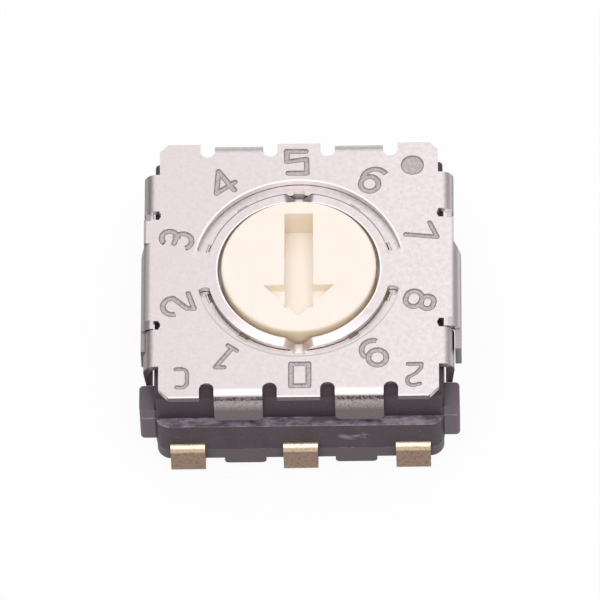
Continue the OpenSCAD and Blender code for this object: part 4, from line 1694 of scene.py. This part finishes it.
@dataclass
class Housing:
    """Moulded housing with its chamber, ledge, ribs, ears, feet and the post in its floor."""

    half_width: float = 3.25
    half_length: float = 3.485
    upper_front: float = 3.27
    upper_rear: float = 3.00
    under: float = 0.31
    feet: float = 0.10
    ledge: float = 1.66
    top: float = 2.61
    corner: float = 0.32
    small: float = 0.10
    rib_half: float = 0.515
    rib_top: float = 2.31
    rib_x: float = 1.36
    ear_out: float = 0.35
    ear_length: float = 0.65
    ear_low: float = 0.84
    ear_high: float = 2.00
    foot_inner: float = 0.78
    foot_outer: float = 1.72
    foot_depth: float = 0.90
    chamber_r: float = 2.75
    floor: float = 0.93
    post_r: float = 0.32
    post_top: float = 1.89
    parting: float = 0.70
    parting_step: float = 0.014
    overlap: float = 0.2
    upper_root: float = 0.4
    rib_root: float = 2.5
    ear_root: float = 0.3
    ear_gap: float = 0.02
    post_root: float = 0.25
    edge_round: float = 0.035

    def walls(self) -> bpy.types.Object:
        """Makes the lower block with its parting step, and the upper block with its rim."""
        inset = self.parting_step
        walls = Bench.block("moulded_housing", (-self.half_width, -self.half_length, self.parting),
                            (self.half_width, self.half_length, self.ledge))
        Bench.round_some(walls, self.corner, 12)
        base = Bench.block("base", (inset - self.half_width, inset - self.half_length, self.under),
                           (self.half_width - inset, self.half_length - inset,
                            self.parting + self.overlap))
        Bench.round_some(base, self.corner, 12)
        upper = Bench.block("upper", (-self.half_width, -self.upper_front,
                                      self.ledge - self.upper_root),
                            (self.half_width, self.upper_rear, self.top))
        Bench.round_some(upper, self.small, 5)
        Bench.round_some(upper, self.small, 1, lambda c, d: c.z > self.top - HAIR)
        Bench.weld(walls, base, upper)
        return walls

    def extras(self) -> list[bpy.types.Object]:
        """Makes the ribs behind the rear tabs, the ears and the feet."""
        made = []
        for x in SIDES:
            middle = x * self.rib_x
            made.append(Bench.block("rib", (middle - self.rib_half, self.rib_root,
                                            self.ledge - 0.1),
                                    (middle + self.rib_half, self.upper_front, self.rib_top)))
            front = self.ear_gap - self.upper_front
            ear = Bench.block("ear", (x * (self.half_width - self.ear_root), front, self.ear_low),
                              (x * (self.half_width + self.ear_out),
                               front + self.ear_length, self.ear_high))
            Bench.round_some(ear, self.small, 6,
                             lambda c, d: upright(c, d) and abs(c.x) > self.half_width)
            made.append(ear)
            for y in SIDES:
                foot = Bench.block("foot", (x * self.foot_inner,
                                            y * (self.half_length - self.foot_depth), self.feet),
                                   (x * self.foot_outer,
                                    y * (self.half_length - self.parting_step),
                                    self.under + self.overlap))
                Bench.round_some(foot, self.small, 6,
                                 lambda c, d: abs(d.y) > 0.9 and c.z < self.under)
                made.append(foot)
        return made

    def build(self, finishes: Finishes, terminals: Sequence[Terminal]) -> bpy.types.Object:
        """Builds and dresses the housing.

        Args:
            finishes: The finishes of the switch.
            terminals: The terminals that lie in its floor.

        Returns:
            The finished housing.
        """
        housing = self.walls()
        Bench.weld(housing, *self.extras())
        Bench.cut(housing, Bench.rod("chamber", self.chamber_r, self.floor, self.top + 1,
                                     sides=160))
        for terminal in terminals:
            for bar in terminal.bars():
                Bench.cut(housing, *Bench.copies(bar, [terminal.place]))
        Bench.weld(housing, Bench.rod("post", self.post_r, self.floor - self.post_root,
                                      self.post_top, sides=64))
        Bench.outward(housing)
        Bench.round_edges(housing, self.edge_round, 3)
        Bench.dress(housing, finishes.dark)
        return Bench.deliver(housing, Body.FIXED, "housing_plastic", ["housing"])


# ---------------------------------------------------------------------------
# Studio
# ---------------------------------------------------------------------------


@dataclass
class Studio:
    """Camera, floor and light."""

    aim: Point = (0.03, 0.0, 2.76)
    elevation: float = 57.28
    azimuth: float = 2.23
    roll: float = 2.56
    distance: float = 300.0
    lens: float = 798.5
    sensor: float = 36.0
    below_axis: float = 0.708
    floor_white: float = 0.94
    room: float = 0.62

    def camera(self) -> bpy.types.Object:
        """Adds the camera and makes it the scene's own."""
        up, turn = math.radians(self.elevation), math.radians(self.azimuth)
        back = Vector((math.sin(turn) * math.cos(up), -math.cos(turn) * math.cos(up),
                       math.sin(up)))
        facing = (-back).to_track_quat("-Z", "Y").to_matrix()
        facing = facing @ Matrix.Rotation(math.radians(-self.roll), 3, "Z")
        aim = Vector(self.aim) - facing.col[1] * self.below_axis
        data = bpy.data.cameras.new("camera")
        data.sensor_width = self.sensor
        data.lens = self.lens
        data.clip_start = 0.01
        data.clip_end = 10.0
        camera = bpy.data.objects.new("camera", data)
        bpy.context.scene.collection.objects.link(camera)
        camera.matrix_world = (Matrix.Translation((aim + back * self.distance) * MM)
                               @ facing.to_4x4())
        bpy.context.scene.camera = camera
        return camera

    def floor(self) -> bpy.types.Object:
        """Adds the plain pale floor."""
        floor = Bench.start("floor", bpy.ops.mesh.primitive_plane_add, size=2.0)
        made = empty_material("pale_floor")
        tree = made.node_tree
        path = add_node(tree, "LightPath")
        seen = path.outputs["Is Camera Ray"]
        for ray in ("Is Glossy Ray", "Is Transmission Ray"):
            seen = add_node(tree, "Math", {0: seen, 1: path.outputs[ray]},
                            {"operation": "MAXIMUM"})
        share = add_node(tree, "Math", {0: seen, 1: self.floor_white},
                         {"operation": "MULTIPLY"})
        matt = add_node(tree, "BsdfDiffuse", {"Color": linear("F2F2F2")})
        white = add_node(tree, "Emission", {"Strength": 1.0})
        mix = add_node(tree, "MixShader", {0: share, 1: matt, 2: white})
        add_node(tree, "OutputMaterial", {"Surface": mix})
        floor.data.materials.append(made)
        return floor

    def lamp(self, name: str, place: Point, size: float, power: float) -> bpy.types.Object:
        """Adds one soft square lamp that looks at the switch.

        Args:
            name: Name of the lamp.
            place: Where it hangs, in mm.
            size: Length of its side, in mm.
            power: Its power in watts.

        Returns:
            The lamp.
        """
        data = bpy.data.lights.new(name, "AREA")
        data.size = size * MM
        data.energy = power
        lamp = bpy.data.objects.new(name, data)
        bpy.context.scene.collection.objects.link(lamp)
        lamp.location = Vector(place) * MM
        lamp.rotation_euler = (-Vector(place)).to_track_quat("-Z", "Y").to_euler()
        return lamp

    def build(self) -> None:
        """Sets up the whole studio."""
        scene = bpy.context.scene
        scene.view_settings.view_transform = "Standard"
        world = bpy.data.worlds.new("room")
        world.use_nodes = True
        sky = world.node_tree.nodes["Background"]
        sky.inputs["Color"].default_value = linear("F4F4F6")
        sky.inputs["Strength"].default_value = self.room
        scene.world = world
        self.camera()
        self.floor()
        self.lamp("overhead", (0, 120, 240), 260, 0.17)
        self.lamp("front", (0, -90, 250), 200, 0.26)
        self.lamp("right", (220, -40, 160), 160, 0.055)


# ---------------------------------------------------------------------------
# The whole switch
# ---------------------------------------------------------------------------


def lead_frame() -> list[Terminal]:
    """Lists the six terminals: the contacts' names are those of their bits."""
    pitch = LeadFrame().pitch
    return [
        Terminal("contact_common", -1, -pitch, -1.522),
        Terminal("contact_4", -1, 0.0, 0.0, 0.80),
        Terminal("contact_2", -1, pitch, 1.937),
        Terminal("contact_1", 1, pitch, 1.0913),
        Terminal("contact_8", 1, -pitch, -2.3464),
        Terminal("spare_terminal", 1, 0.0),
    ]


def main() -> None:
    """Builds the switch and its studio."""
    logging.basicConfig(level=logging.INFO, format="%(name)s: %(message)s")
    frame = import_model()
    finishes = Finishes()
    Studio().build()
    terminals = lead_frame()
    Housing().build(finishes, terminals)
    for terminal in terminals:
        terminal.build(finishes)
    Rotor().build(finishes)
    Washer().build(finishes)
    Cover().build(finishes)
    for name, finish in (("seal_ring", finishes.rubber), ("code_disc", finishes.gold)):
        node = frame["nodes"][name]
        node.data.materials.clear()
        node.data.materials.append(finish)


if __name__ == "__main__":
    main()
